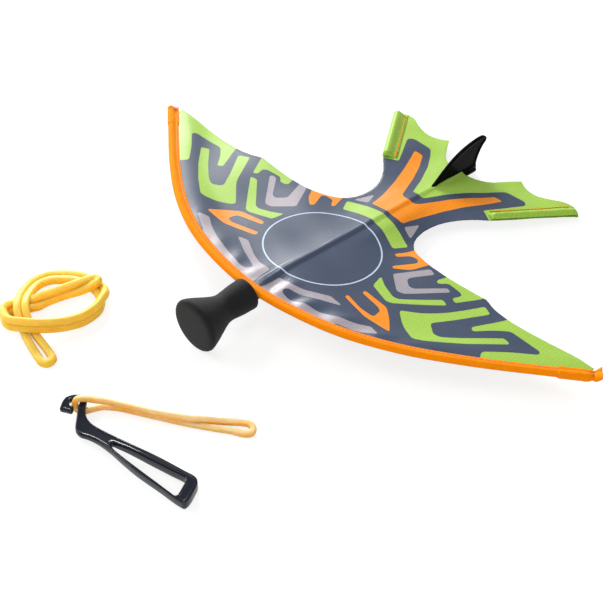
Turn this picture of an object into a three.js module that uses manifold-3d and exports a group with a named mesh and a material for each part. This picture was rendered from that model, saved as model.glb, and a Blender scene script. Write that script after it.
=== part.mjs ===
// Cloth-winged sling glider: a bird-shaped fabric wing on a bent leading-edge rod and a keel
// rod, a soft foam nose, a clip-on tail fin, the moulded sling handle with its rubber band,
// and a spare band. Millimetres, +Z up, resting on the floor z = 0, nose towards -Y.
import * as THREE from "three";
import { mergeVertices } from "three/addons/utils/BufferGeometryUtils.js";
import Module from "manifold-3d";

const wasm = await Module();
wasm.setup();

// ---------------------------------------------------------------- driving dimensions
const GAP = 0.3; // clearance between neighbouring pieces
const CLOTH = 0.5; // fabric thickness
const WING_HEIGHT = 15.11; // cloth mid-plane above the floor at y = 0
const PITCH = 4.23; // nose-up angle of the wing at rest, degrees
const BOW = [[0, -118.6], [40, -114.7], [80, -104.5], [120, -85.7], [160, -58.8], [200, -27.2],
  [224, -7.6]]; // leading-edge rod, right half, in the plane of the wing
const SPAR_R = 1.5;
const BINDING = { width: 8.6, thick: 5.6, bore: SPAR_R + GAP, slot: 1.1 };
const TAB = { length: 25, over: 6.5, width: 11.6, thick: 7.6 };
const TRAILING = [[221, -0.6], [200, -0.8], [181, -2.6], [163, -4.1], [147, -4], [133, -1.9],
  [121, 2.4]]; // right wing, tip to the first corner
const WAIST = [[121, 2.4], [107, 1.2], [84, 0.1], [65, 1.3], [52, 5], [43, 9.8], [37, 15.5],
  [33, 23], [31.5, 32], [32.5, 43], [36, 53], [42, 62.5], [49, 70.5], [59.5, 80.6]];
const TAIL_TIP = [100.4, 138.2];
const TAIL_REAR = [[100.4, 138.2], [97.6, 141.6], [90, 144.8], [82, 143.4], [72, 138.2],
  [60, 135], [50, 136.2], [44, 138.8], [39.3, 141.4]];
const TAIL_NOTCH = [[39.3, 141.4], [33, 131.5], [24, 119.8], [15, 113.5], [7, 111.2], [0, 110.8]];
const KEEL = { r: 2, front: -108, rear: 123.4, zFront: -3.9, zRear: -2.6 };
const POCKET = { front: -77, rear: 104, flange: 8.5, wall: 0.5 };
const NOSE = { height: 20.9, rear: -124.2, length: 51.5, bore: 4.1 };
const NOSE_PROFILE = [[0, 11.7], [0.7, 12.4], [11, 11.9], [21, 10.9], [28, 12.4], [35.5, 15.8],
  [42.5, 19], [46.8, 20.6], [48.6, 20.9], [50.2, 19.9], [51, 17.6], [51.4, 11]];
const FIN = { web: 1.8, rim: 3.2, base: 4, front: 74, rear: 128.3 };
const FIN_EDGE = [[74, 0.6], [80, 4.6], [86, 9.4], [96, 16.6], [105, 21.3], [114, 24.4],
  [126, 26.6], [132, 26.9], [135.8, 26.2], [137.8, 24.2], [137.2, 21.4], [134, 18.2],
  [131.5, 14.2], [129.4, 9.2], [128.3, 4.5], [128.3, 0.6]];
const HEM = { width: 12.2, start: [59.8, 80.9], end: [99.6, 137.2], batten: 1.4 };
const HOOK = { r: 1.3, drop: 12, reach: 11, front: -96.4, length: 15 };
const FRAME_THICK = [4, 7.5]; // launcher: at the hook, at the grip
const FRAME_LIFT = 4.9; // its hook end rests on the rubber
const BAND_D = 4.4;
const SPARE_D = 5.4;

const rad = THREE.MathUtils.degToRad;
const V3 = (x, y, z) => new THREE.Vector3(x, y, z);

// ---------------------------------------------------------------- solids
const toSolid = (geometry) => {
  const bare = geometry.index ? geometry.toNonIndexed() : geometry.clone();
  for (const name of Object.keys(bare.attributes)) {
    if (name !== "position") bare.deleteAttribute(name);
  }
  const merged = mergeVertices(bare, 1e-4);
  return new wasm.Manifold(new wasm.Mesh({
    numProp: 3,
    vertProperties: merged.attributes.position.array,
    triVerts: new Uint32Array(merged.index.array),
  }));
};
const toGeometry = (solid) => {
  const mesh = solid.getMesh();
  const geometry = new THREE.BufferGeometry();
  geometry.setAttribute("position", new THREE.BufferAttribute(mesh.vertProperties, 3));
  geometry.setIndex(new THREE.BufferAttribute(mesh.triVerts, 1));
  return geometry;
};
const join = (first, ...rest) =>
  toGeometry(rest.reduce((sum, g) => sum.add(toSolid(g)), toSolid(first)));
const cut = (first, ...rest) =>
  toGeometry(rest.reduce((sum, g) => sum.subtract(toSolid(g)), toSolid(first)));

// Skin between equal rings of points, closed by a flat cap at each end.
const loft = (rings) => {
  const n = rings[0].length;
  const position = rings.flat().flatMap((p) => [p.x, p.y, p.z]);
  const index = [];
  for (let i = 0; i + 1 < rings.length; i += 1) {
    for (let j = 0; j < n; j += 1) {
      const a = i * n + j;
      const b = i * n + ((j + 1) % n);
      index.push(a, b, a + n, b, b + n, a + n);
    }
  }
  return { position, index, n, rings: rings.length };
};
// profile: closed list of [u, w]; frames: list of { at, u, w } (origin and two directions).
const sweep = (profile, frames, shapeAt) => {
  const vectors = (list) => list.map(([a, b]) => new THREE.Vector2(a, b));
  const ccw = (list) => (THREE.ShapeUtils.isClockWise(vectors(list)) ? [...list].reverse() : list);
  const rings = frames.map(({ at, u, w }, i) =>
    ccw(shapeAt ? shapeAt(i, frames.length) : profile).map(([a, b]) =>
      at.clone().addScaledVector(u, a).addScaledVector(w, b)));
  const skin = loft(rings);
  const last = (skin.rings - 1) * skin.n;
  for (const [a, b, c] of THREE.ShapeUtils.triangulateShape(vectors(ccw(profile)), [])) {
    skin.index.push(a, c, b, last + a, last + b, last + c);
  }
  const side = frames[0].u.clone().cross(frames[0].w);
  const ahead = frames[1].at.clone().sub(frames[0].at);
  if (side.dot(ahead) < 0) {
    for (let i = 0; i < skin.index.length; i += 3) {
      [skin.index[i + 1], skin.index[i + 2]] = [skin.index[i + 2], skin.index[i + 1]];
    }
  }
  const geometry = new THREE.BufferGeometry();
  geometry.setAttribute("position", new THREE.Float32BufferAttribute(skin.position, 3));
  geometry.setIndex(skin.index);
  return geometry;
};
const ring = (r, sides) => Array.from({ length: sides }, (_, i) => {
  const a = (i / sides) * Math.PI * 2;
  return [r * Math.cos(a), r * Math.sin(a)];
});
// Frames carried along a path of points without twist.
const carried = (points) => {
  const tangent = points.map((p, i) => points[Math.min(i + 1, points.length - 1)].clone()
    .sub(points[Math.max(i - 1, 0)]).normalize());
  let u = V3(0, 0, 1).cross(tangent[0]).normalize();
  return points.map((at, i) => {
    u = u.clone().addScaledVector(tangent[i], -u.dot(tangent[i])).normalize();
    return { at, u, w: tangent[i].clone().cross(u) };
  });
};
const tube = (points, r, sides) => sweep(ring(r, sides), carried(points));
const rod = (from, to, r, sides = 20) => tube([from, to], r, sides);
const box = (x0, x1, y0, y1, z0, z1) =>
  new THREE.BoxGeometry(x1 - x0, y1 - y0, z1 - z0)
    .translate((x0 + x1) / 2, (y0 + y1) / 2, (z0 + z1) / 2);
const smooth = (pairs, count, closed = false) => {
  const curve = new THREE.CatmullRomCurve3(
    pairs.map(([x, y, z = 0]) => V3(x, y, z)), closed, "centripetal");
  return curve.getSpacedPoints(count).slice(0, closed ? -1 : undefined);
};
const mirrored = (geometry) => {
  const copy = geometry.clone().scale(-1, 1, 1);
  const index = copy.index ? Array.from(copy.index.array)
    : Array.from({ length: copy.attributes.position.count }, (_, i) => i);
  for (let i = 0; i < index.length; i += 3) {
    [index[i + 1], index[i + 2]] = [index[i + 2], index[i + 1]];
  }
  copy.setIndex(index);
  return copy;
};
const plate = (outline, holes, depth, bevel = 0) => {
  const shape = new THREE.Shape(outline.map(([x, y]) => new THREE.Vector2(x, y)));
  for (const hole of holes) {
    shape.holes.push(new THREE.Path(hole.map(([x, y]) => new THREE.Vector2(x, y))));
  }
  return new THREE.ExtrudeGeometry(shape, {
    depth: depth - 2 * bevel,
    bevelEnabled: bevel > 0,
    bevelThickness: bevel,
    bevelSize: bevel,
    bevelOffset: -bevel,
    bevelSegments: 2,
  }).translate(0, 0, bevel);
};

const paint = (hex, roughness) =>
  new THREE.MeshStandardMaterial({ color: hex, roughness, metalness: 0 });
const FABRIC = 0x59606e;
const LEAF = 0x9ccb52;
const ORANGE = 0xff8a14;
const BLACK = 0x17181b;
const FOAM = 0x1d1d1d;
const FIBRE = 0x2a2a2a;
const LATEX = 0xf2bd52;

const root = new THREE.Group();
const glider = new THREE.Group();
glider.rotation.x = -rad(PITCH);
glider.position.z = WING_HEIGHT;
root.add(glider);
const add = (group, name, geometry, material) => {
  const mesh = new THREE.Mesh(geometry, material);
  mesh.name = name;
  group.add(mesh);
  return mesh;
};

// ---------------------------------------------------------------- leading edge
const bowHalf = BOW.slice(1).reverse().map(([x, y]) => [-x, y]);
const bowCurve = new THREE.CatmullRomCurve3(
  [...bowHalf, ...BOW].map(([x, y]) => V3(x, y, 0)), false, "centripetal");
const bowPoints = (from, to, count) => Array.from({ length: count + 1 }, (_, i) =>
  bowCurve.getPointAt(from + ((to - from) * i) / count));
// u runs across the rod towards the trailing edge, w is up
const bowFrames = (points) => points.map((at, i) => {
  const ahead = points[Math.min(i + 1, points.length - 1)].clone()
    .sub(points[Math.max(i - 1, 0)]).normalize();
  return { at, u: V3(-ahead.y, ahead.x, 0), w: V3(0, 0, 1) };
});
const bowLength = bowCurve.getLength();
const edgePoints = bowPoints(0, 1, 36);
add(glider, "leading_edge_spar",
  tube(bowPoints(0.004, 0.996, 40), SPAR_R, 8), paint(FIBRE, 0.4));

// A flattened sleeve, open at the back where the cloth goes in.
const sleeve = (width, thick, boreW, boreT, slot) => {
  const arc = (w, t, from, to, steps) => Array.from({ length: steps + 1 }, (_, i) => {
    const a = from + ((to - from) * i) / steps;
    const lean = Math.cos(a);
    const flat = (w - t) / 2;
    return [Math.sign(lean) * Math.min(flat, Math.abs(lean) * flat * 1.6) + (t / 2) * lean,
      (t / 2) * Math.sin(a)];
  });
  const open = Math.asin(slot / thick);
  const openIn = Math.asin(slot / boreT);
  const outer = arc(width, thick, open, Math.PI * 2 - open, 12);
  const inner = arc(boreW, boreT, Math.PI * 2 - openIn, openIn, 8);
  return [...outer, ...inner];
};
const bindingProfile = sleeve(BINDING.width, BINDING.thick, 2 * BINDING.bore,
  2 * BINDING.bore, BINDING.slot);
const bindingWhole = sweep(bindingProfile, bowFrames(edgePoints));

// nose connector: saddle under the rod, front stub for the foam, rear socket for the keel
const theta = rad(PITCH);
const pivotZ = (NOSE.height - WING_HEIGHT + Math.sin(theta) * NOSE.rear) / Math.cos(theta);
const forward = V3(0, -Math.cos(theta), -Math.sin(theta)); // level, seen from the wing
const nosePivot = V3(0, NOSE.rear, pivotZ);
const along = (distance) => nosePivot.clone().addScaledVector(forward, distance);
const bowMid = BOW[0][1];
const keelSlope = (KEEL.zRear - KEEL.zFront) / (KEEL.rear - KEEL.front);
const keelAt = (y) => V3(0, y, KEEL.zFront + keelSlope * (y - KEEL.front));
const saddle = [bowMid - 4.9, bowMid + 1.6, bowMid + 7.6];
const socketEnd = -97.4;
const connector = cut(
  join(
    box(-6.5, 6.5, saddle[0], saddle[1] + 0.3, -7.6, -0.05),
    box(-6.5, 6.5, saddle[1], saddle[2], -7.6, -0.62),
    rod(along(-0.9), along(36), NOSE.bore - GAP - 0.1),
    rod(keelAt(saddle[2] - 0.6), keelAt(socketEnd), 3.15),
  ),
  rod(V3(-9, bowMid, 0), V3(9, bowMid, 0), SPAR_R + GAP, 16),
  rod(keelAt(KEEL.front - 0.5), keelAt(socketEnd + 2), KEEL.r + GAP),
);
add(glider, "nose_connector", connector, paint(BLACK, 0.45));
add(glider, "leading_edge_binding",
  cut(bindingWhole, box(-6.5 - GAP, 6.5 + GAP, saddle[0] - 1, saddle[2] + 1, -9, GAP)),
  paint(ORANGE, 0.75));

// folded and stitched tabs over both ends of the binding
const tabStart = 1 - TAB.length / bowLength;
const tabPoints = bowPoints(tabStart, 1, 6);
const tip = tabPoints[tabPoints.length - 1];
const tipAhead = tip.clone().sub(tabPoints[tabPoints.length - 2]).normalize();
const tabProfile = sleeve(TAB.width, TAB.thick, BINDING.width + 2 * GAP,
  BINDING.thick + 2 * GAP, BINDING.slot);
const tabFrames = bowFrames([...tabPoints, tip.clone().addScaledVector(tipAhead, GAP + 0.4)]);
const plugProfile = sleeve(TAB.width, TAB.thick, 1, 1, 0.2).slice(0, 13);
const plugFrames = bowFrames([tip.clone().addScaledVector(tipAhead, GAP),
  tip.clone().addScaledVector(tipAhead, TAB.over * 0.55),
  tip.clone().addScaledVector(tipAhead, TAB.over)]);
const tab = join(
  sweep(tabProfile, tabFrames),
  sweep(plugProfile, plugFrames, (i) => {
    const k = [[1, 1], [1.02, 0.9], [1.12, 0.52]][i];
    return plugProfile.map(([u, w]) => [u * k[0], w * k[1]]);
  }),
);
add(glider, "wing_tip_tab_right", tab, paint(ORANGE, 0.75));
add(glider, "wing_tip_tab_left", mirrored(tab), paint(ORANGE, 0.75));

// ---------------------------------------------------------------- cloth
// The front edge stops inside the binding, just behind the rod.
const clothEdge = bowFrames(bowPoints(0.5, 0.99, 26))
  .map(({ at, u }) => at.clone().addScaledVector(u, SPAR_R + 1));
const chain = (...lists) => lists.reduce((all, list) => [...all, ...list.slice(all.length ? 1 : 0)]);
const halfOutline = chain(
  [...clothEdge.map((p) => [p.x, p.y]), TRAILING[0]],
  smooth(TRAILING, 12).map((p) => [p.x, p.y]),
  smooth(WAIST, 34).map((p) => [p.x, p.y]),
  [HEM.start, TAIL_TIP],
  smooth(TAIL_REAR, 14).map((p) => [p.x, p.y]),
  smooth(TAIL_NOTCH, 12).map((p) => [p.x, p.y]),
);
const wholeOutline = [
  ...halfOutline,
  ...halfOutline.slice(1, -1).reverse().map(([x, y]) => [-x, y]),
];
add(glider, "wing_cloth",
  plate(wholeOutline, [], CLOTH).translate(0, 0, -CLOTH / 2), paint(FABRIC, 0.8));

// hems folded over a stiff batten on the outer edge of each tail
const a = V3(...HEM.start, 0);
const b = V3(...HEM.end, 0);
const hemAhead = b.clone().sub(a).normalize();
const hemIn = V3(-hemAhead.y, hemAhead.x, 0);
const up = V3(0, 0, 1);
const base = CLOTH / 2 + GAP;
const hemFrames = [a, b].map((at) => ({ at, u: hemIn, w: up }));
const hemProfile = [[0.15, base], [0.05, base + 1.2], [0.6, base + 2.6], [1.9, base + 3.7],
  [3.4, base + 3.95], [4.9, base + 3.5], [6.2, base + 2.2], [7.4, base + 1], [8.6, base + 0.55],
  [HEM.width, base + 0.5], [HEM.width, base], [8.4, base], [7, base + 0.4], [5.8, base + 1.6],
  [4.7, base + 2.9], [3.4, base + 3.4], [2.2, base + 3.2], [1.1, base + 2.3],
  [0.6, base + 1.2], [0.7, base]];
const hem = sweep(hemProfile, hemFrames);
const battenAt = (p, shift) => p.clone().addScaledVector(hemAhead, shift)
  .addScaledVector(hemIn, 3.25).addScaledVector(up, base + HEM.batten + 0.1);
const batten = rod(battenAt(a, 1.5), battenAt(b, -2), HEM.batten, 12);
const threadAt = (p, shift) => p.clone().addScaledVector(hemAhead, shift)
  .addScaledVector(hemIn, HEM.width - 1.3).addScaledVector(up, base + 0.5 + GAP + 0.2);
const thread = rod(threadAt(a, 0.5), threadAt(b, -0.5), 0.22, 6);
for (const [side, make] of [["right", (g) => g], ["left", mirrored]]) {
  add(glider, `tail_hem_${side}`, make(hem), paint(LEAF, 0.8));
  add(glider, `tail_batten_${side}`, make(batten), paint(FIBRE, 0.4));
  add(glider, `hem_thread_${side}`, make(thread), paint(0xe2732a, 0.6));
}

// ---------------------------------------------------------------- keel
add(glider, "keel_rod", rod(keelAt(KEEL.front), keelAt(KEEL.rear), KEEL.r), paint(FIBRE, 0.4));

// cloth channel sewn under the wing: two flanges and a loop round the rod
const pocketShape = (y) => {
  const z = keelAt(y).z;
  const inner = KEEL.r + GAP;
  const outer = inner + POCKET.wall;
  const top = -CLOTH / 2 - GAP;
  const low = top - POCKET.wall;
  const bend = (r) => Array.from({ length: 9 }, (_, i) => {
    const t = Math.PI * (1 + i / 8);
    return [r * Math.cos(t), z + r * Math.sin(t)];
  });
  return [[-POCKET.flange, top], [-POCKET.flange, low], [-outer, low], ...bend(outer),
    [outer, low], [POCKET.flange, low], [POCKET.flange, top], [inner, top],
    ...bend(inner).reverse(), [-inner, top]];
};
const pocketFrames = [POCKET.front, POCKET.rear].map((y) => ({
  at: V3(0, y, 0), u: V3(1, 0, 0), w: up,
}));
add(glider, "keel_pocket", sweep(pocketShape(POCKET.front), pocketFrames,
  (i) => pocketShape([POCKET.front, POCKET.rear][i])), paint(0x2b2e35, 0.85));

// hook for the sling, clamped round the keel rod, its mouth facing the tail
const clampEnd = HOOK.front + HOOK.length;
const hookFoot = keelAt(HOOK.front + 3);
const hookLine = smooth([[0, hookFoot.y, hookFoot.z - 2.6], [0, hookFoot.y, hookFoot.z - 7],
  [0, hookFoot.y + 1.2, hookFoot.z - HOOK.drop + 1.4],
  [0, hookFoot.y + 4.2, hookFoot.z - HOOK.drop],
  [0, hookFoot.y + HOOK.reach, hookFoot.z - HOOK.drop + 0.4]], 14);
add(glider, "launch_hook", cut(
  join(rod(keelAt(HOOK.front), keelAt(clampEnd), 3.15), tube(hookLine, HOOK.r, 12)),
  rod(keelAt(HOOK.front - 1), keelAt(clampEnd + 1), KEEL.r + GAP),
), paint(BLACK, 0.45));

// ---------------------------------------------------------------- foam nose
const lathe = [[NOSE.bore, 0], ...NOSE_PROFILE.map(([s, r]) => [r, s]),
  [0, NOSE.length], [0, NOSE.length - 14], [NOSE.bore, NOSE.length - 14]]
  .map(([x, y]) => new THREE.Vector2(Math.max(x, 0), y));
const foam = new THREE.LatheGeometry([...lathe, lathe[0]], 32).rotateX(Math.PI);
const foamBody = (() => {
  const solid = toSolid(foam);
  return solid.volume() > 0 ? toGeometry(solid) : toGeometry(toSolid(mirrored(foam)));
})();
const nose = new THREE.Group();
nose.position.copy(nosePivot);
nose.rotation.x = theta;
glider.add(nose);
// lathe axis is Y: after the half turn it already points towards -Y
add(nose, "nose_foam", foamBody, paint(FOAM, 0.95));

// ---------------------------------------------------------------- fin
const finOutline = smooth(FIN_EDGE, 40).map((p) => [p.x, p.y]);
// the recess in each face follows the edge at the rim's width
const recess = finOutline.slice(1, -1).map(([y, z], i) => {
  const [y0, z0] = finOutline[i];
  const [y1, z1] = finOutline[i + 2];
  const d = Math.hypot(y1 - y0, z1 - z0);
  return [y + (2.2 * (z1 - z0)) / d, z - (2.2 * (y1 - y0)) / d];
}).filter(([y, z]) => z > 4 && y > 83 && y < 134.6);
// plate in the (y, z) plane: turn its x to +Y and its y to +Z
const upright = (geometry, depth) => geometry.translate(0, 0, -depth / 2)
  .applyMatrix4(new THREE.Matrix4().makeBasis(V3(0, 1, 0), V3(0, 0, 1), V3(1, 0, 0)));
const finSolid = upright(plate(finOutline, [], FIN.rim, 0.5), FIN.rim);
const finPocket = upright(plate(recess, [], 4), 4);
const pocketShift = FIN.web / 2 + 2;
const finClampFront = 113.6;
add(glider, "fin", cut(
  join(cut(finSolid, finPocket.clone().translate(pocketShift, 0, 0),
    finPocket.clone().translate(-pocketShift, 0, 0)),
    box(-FIN.base / 2, FIN.base / 2, FIN.front + 2, FIN.rear - 0.05, CLOTH / 2 + GAP, 2.4),
    box(-FIN.base / 2, FIN.base / 2, finClampFront, FIN.rear - 0.05, -2.4, 2),
    rod(keelAt(finClampFront), keelAt(FIN.rear - 0.2), 3.1)),
  rod(keelAt(finClampFront - 1), keelAt(KEEL.rear + GAP), KEEL.r + GAP),
), paint(BLACK, 0.3));

// ---------------------------------------------------------------- launcher handle
const FRAME_OUTER = [[-9.6, -265], [-13.4, -266.8], [-16.6, -270.4], [-17.8, -275.1],
  [-16.2, -279.6], [-13.8, -282.8], [-12, -284.8], [-8.4, -282.9], [-4.8, -280.6],
  [-5.6, -278.2], [-7.6, -276.9], [-10.3, -277.6], [-13, -276.2], [-13, -272.6],
  [-10.6, -270.2], [-8, -271], [-5.4, -274.6], [-1.6, -278], [2.6, -281.8], [7, -286],
  [11.4, -288.9], [16.4, -288.9], [20.6, -286.9], [28, -284.6], [39.4, -283.2], [54, -283],
  [68.2, -282.4], [88, -280], [105, -278.1], [109.4, -276.8], [109.6, -273.4], [105.8, -264.6],
  [102.4, -259.2], [98.4, -257.3], [88, -259.4], [67, -264.4], [47.6, -269.5], [30, -273.8],
  [18, -276.4], [12.4, -277], [6.4, -275.9], [1.9, -273.5], [-2.6, -269.6], [-5.6, -266.6]];
const FRAME_HOLE = [[37, -278.4], [41, -276.8], [50, -274], [66, -270], [82, -265.8],
  [93, -262.9], [95.6, -263.4], [98.6, -269], [101, -275], [100.2, -277], [97, -277.4],
  [84, -278.6], [66, -280.2], [48, -281], [40.4, -280.5]];
const frameSolid = plate(
  smooth(FRAME_OUTER, 96, true).map((p) => [p.x, p.y]),
  [smooth(FRAME_HOLE, 32, true).map((p) => [p.x, p.y])], FRAME_THICK[1], 0.7);
{
  const p = frameSolid.attributes.position;
  for (let i = 0; i < p.count; i += 1) {
    const x = p.getX(i);
    const grip = THREE.MathUtils.smoothstep(x, 6, 74);
    const thick = FRAME_THICK[0] + (FRAME_THICK[1] - FRAME_THICK[0]) * grip;
    const lift = (FRAME_LIFT * Math.max(0, 104 - x)) / 112;
    p.setZ(i, (p.getZ(i) * thick) / FRAME_THICK[1] + lift);
  }
}
add(root, "launcher_frame", frameSolid, paint(BLACK, 0.3));

// ---------------------------------------------------------------- rubber bands
const LOW = BAND_D / 2 + 0.1;
const BAND_PATH = [[89.6, -199.2, LOW], [91.4, -203.2, LOW], [88.4, -206.6, LOW],
  [80, -211.2, LOW], [71.4, -217, LOW], [53.3, -228.6, LOW], [29, -242.2, LOW],
  [9.2, -253.2, LOW], [1.4, -260.2, LOW], [-2, -267, LOW], [-4.4, -271.6, LOW],
  [-8.2, -273.9, 3.3], [-9.7, -273.9, 7], [-8.8, -272.2, 11], [-5.4, -268.8, 12],
  [-0.4, -264.2, 11], [5.6, -257.6, 8.8], [16.3, -250.4, 7.5], [30.5, -242.6, 7.3],
  [44.5, -234.2, 7.3], [55, -226.8, 6.9], [62, -219, 5.2], [67.6, -212.6, 3.2],
  [73, -206.8, LOW], [79, -201.4, LOW], [84.6, -198, LOW]];
add(root, "launcher_band",
  tube(smooth(BAND_PATH, 64), BAND_D / 2, 8), paint(LATEX, 0.35));

// The spare band is folded in two and thrown in an open knot: [x, y, z, spread, turn],
// where turn 0 lays the two strands side by side and 90 stacks them.
const SPARE_PATH = [[-63, -259.6, 2.9, 8.6, 0], [-75.2, -257, 2.9, 8.4, 0],
  [-92.4, -253, 2.9, 6.6, 0], [-102, -249.8, 4.6, 6, 0], [-111, -246.4, 8, 6, 0],
  [-118, -241.6, 8.8, 6, 0], [-128.7, -231, 5, 6, 0], [-135.4, -217.5, 3, 6, 0],
  [-133.6, -206.4, 3, 6, 0], [-127.4, -198.4, 3, 6, 0], [-119.6, -191.6, 3, 6, 0],
  [-110, -187.6, 3, 6, 0], [-100, -186.6, 3, 6, 0], [-90, -189, 4.6, 6, 30],
  [-82, -195.4, 5.9, 6, 75], [-76.8, -204.6, 6.2, 6, 90], [-75.6, -217.5, 6.6, 6, 90],
  [-78.6, -231.4, 8.4, 6, 90], [-85.8, -245.6, 11, 6, 90], [-94.4, -254.4, 12, 6, 90],
  [-106, -260.6, 10.6, 6, 90], [-117.6, -257.6, 7.4, 6, 90], [-123.2, -250, 5.4, 6, 50],
  [-121.6, -241.4, 3.9, 6, 10], [-116.6, -233, 4.3, 6, 20], [-113.4, -222.6, 5.8, 6, 70],
  [-109.4, -210, 6.4, 6, 80], [-103.6, -198.6, 8.2, 6, 40], [-100.4, -187.4, 9.2, 6, 0]];
const ropeCurve = (column) => new THREE.CatmullRomCurve3(
  SPARE_PATH.map((row) => (column ? V3(row[3], row[4], 0) : V3(...row.slice(0, 3)))),
  false, "centripetal");
const spine = ropeCurve(0);
const STATIONS = 38;
const strandAt = (t, side) => {
  const at = spine.getPoint(t);
  const ahead = spine.getTangent(t);
  const flat = V3(-ahead.y, ahead.x, 0).normalize();
  const lift = ahead.clone().cross(flat).normalize();
  const k = t * (SPARE_PATH.length - 1);
  const i = Math.min(Math.floor(k), SPARE_PATH.length - 2);
  const mix = (c) => THREE.MathUtils.lerp(SPARE_PATH[i][c], SPARE_PATH[i + 1][c], k - i);
  const turn = rad(mix(4));
  return at.clone().addScaledVector(flat, (side * mix(3) * Math.cos(turn)) / 2)
    .addScaledVector(lift, (side * mix(3) * Math.sin(turn)) / 2);
};
const strand = (side, back) => Array.from({ length: STATIONS + 1 }, (_, i) =>
  strandAt((back ? STATIONS - i : i) / STATIONS, side));
// half-turn joining the two strands beyond an end of the folded band
const turnAt = (t, sign, from) => {
  const middle = spine.getPoint(t);
  const across = strandAt(t, from).sub(middle);
  const beyond = spine.getTangent(t).multiplyScalar(sign * across.length());
  return [0.2, 0.4, 0.6, 0.8].map((f) => middle.clone()
    .addScaledVector(across, Math.cos(Math.PI * f)).addScaledVector(beyond, Math.sin(Math.PI * f)));
};
add(root, "spare_band", tube([...strand(1, false), ...turnAt(1, 1, 1), ...strand(-1, true),
  ...turnAt(0, -1, -1).slice(0, 3)], SPARE_D / 2, 8), paint(LATEX, 0.35));

// ---------------------------------------------------------------- place on the floor
// The origin is the middle of the stiff pieces' footprint, the lowest point is z = 0.
root.updateMatrixWorld(true);
const bounds = new THREE.Box3();
root.traverse((node) => {
  if (node.isMesh && !node.name.endsWith("_band")) {
    bounds.union(new THREE.Box3().setFromObject(node, true));
  }
});
const shift = V3(0, -(bounds.min.y + bounds.max.y) / 2, -bounds.min.z);
for (const child of root.children) child.position.add(shift);

export default root;
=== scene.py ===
"""Sling glider with a printed cloth wing, its moulded sling handle and two rubber bands.

The wing, its tape and hems, the foam nose, the fin, the handle and the rubber are built here
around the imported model. Shapes are worked out in millimetres, in the wing's own plane or on the
floor, and placed in the frame in metres.
"""
import math
import random

import bpy
import numpy as np
from mathutils import Matrix, Vector, noise
from mathutils.geometry import delaunay_2d_cdt


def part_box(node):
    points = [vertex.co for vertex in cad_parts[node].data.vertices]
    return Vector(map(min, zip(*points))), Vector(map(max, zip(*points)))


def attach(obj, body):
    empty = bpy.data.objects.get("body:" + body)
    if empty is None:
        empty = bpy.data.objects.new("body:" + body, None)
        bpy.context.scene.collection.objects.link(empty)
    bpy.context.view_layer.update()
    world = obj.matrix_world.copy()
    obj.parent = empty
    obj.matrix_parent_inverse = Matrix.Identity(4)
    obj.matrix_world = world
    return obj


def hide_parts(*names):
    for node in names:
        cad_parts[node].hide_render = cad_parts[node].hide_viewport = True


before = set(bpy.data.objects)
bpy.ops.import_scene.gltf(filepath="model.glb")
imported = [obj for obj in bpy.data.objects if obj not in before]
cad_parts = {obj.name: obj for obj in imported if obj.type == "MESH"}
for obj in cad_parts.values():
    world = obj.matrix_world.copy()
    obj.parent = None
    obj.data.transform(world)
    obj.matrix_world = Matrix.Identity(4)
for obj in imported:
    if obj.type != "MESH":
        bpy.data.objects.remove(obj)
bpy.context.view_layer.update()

# ---------------------------------------------------------------- driving values, millimetres
MM = 0.001
SHIFT = 72.348  # the model's floor coordinates to the frame, along Y
WING_HEIGHT = 15.11
PITCH = math.radians(4.23)
BOW = [(0, -118.6), (40, -114.7), (80, -104.5), (120, -85.7), (160, -58.8), (200, -27.2),
       (224, -7.6)]
TRAILING = [(221, -0.6), (200, -0.8), (181, -2.6), (163, -4.1), (147, -4), (133, -1.9),
            (121, 2.4)]
WAIST = [(121, 2.4), (107, 1.2), (84, 0.1), (65, 1.3), (52, 5), (43, 9.8), (37, 15.5),
         (33, 23), (31.5, 32), (32.5, 43), (36, 53), (42, 62.5), (49, 70.5), (59.5, 80.6)]
HEM_START, HEM_END = (59.8, 80.9), (99.6, 137.2)
TAIL_REAR = [(100.4, 138.2), (97.6, 141.6), (90, 144.8), (82, 143.4), (72, 138.2),
             (60, 135), (50, 136.2), (44, 138.8), (39.3, 141.4)]
TAIL_NOTCH = [(39.3, 141.4), (33, 131.5), (24, 119.8), (15, 113.5), (7, 111.2), (0, 110.8)]
FIN_EDGE = [(74, 0.6), (80, 4.6), (86, 9.4), (96, 16.6), (105, 21.3), (114, 24.4), (126, 26.6),
            (132, 26.9), (135.8, 26.2), (137.8, 24.2), (137.2, 21.4), (134, 18.2), (131.5, 14.2),
            (129.4, 9.2), (128.3, 4.5), (128.3, 0.6)]
NOSE_HEIGHT, NOSE_REAR, NOSE_LENGTH, NOSE_BORE = 20.9, -124.2, 51.5, 4.1
NOSE_PROFILE = [(4.1, -1.5), (9.5, -1.5), (11.4, -1.2), (12.3, -0.3), (12.25, 4), (11.9, 11),
                (10.9, 21), (11.3, 24.6), (12.4, 28), (15.8, 35.5), (19, 42.5), (20.5, 46.6),
                (20.9, 48.6), (20.3, 50), (18.6, 51), (16, 51.4), (8, 51.5), (0, 51.5)]
CLOTH = 0.35
BAND_D, SPARE_D = 4.4, 5.4


def on_wing(x, y, z=0.0):
    """A point of the wing's plane, nose towards -y, as a place in the frame."""
    return Vector((x, y * math.cos(PITCH) + z * math.sin(PITCH) + SHIFT,
                   WING_HEIGHT - y * math.sin(PITCH) + z * math.cos(PITCH))) * MM


def on_floor(x, y, z):
    """A point of the model's floor plan, z above the floor, as a place in the frame."""
    return Vector((x, y + SHIFT, z)) * MM


def smoothstep(lo, hi, x):
    t = np.clip((np.asarray(x, float) - lo) / (hi - lo), 0, 1)
    return t * t * (3 - 2 * t)


def bell(x):
    return np.exp(-np.square(x))


def read_off(x, table):
    """The second value of a table of pairs at x, in proportion between its rows."""
    return np.interp(x, *zip(*table))


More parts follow.
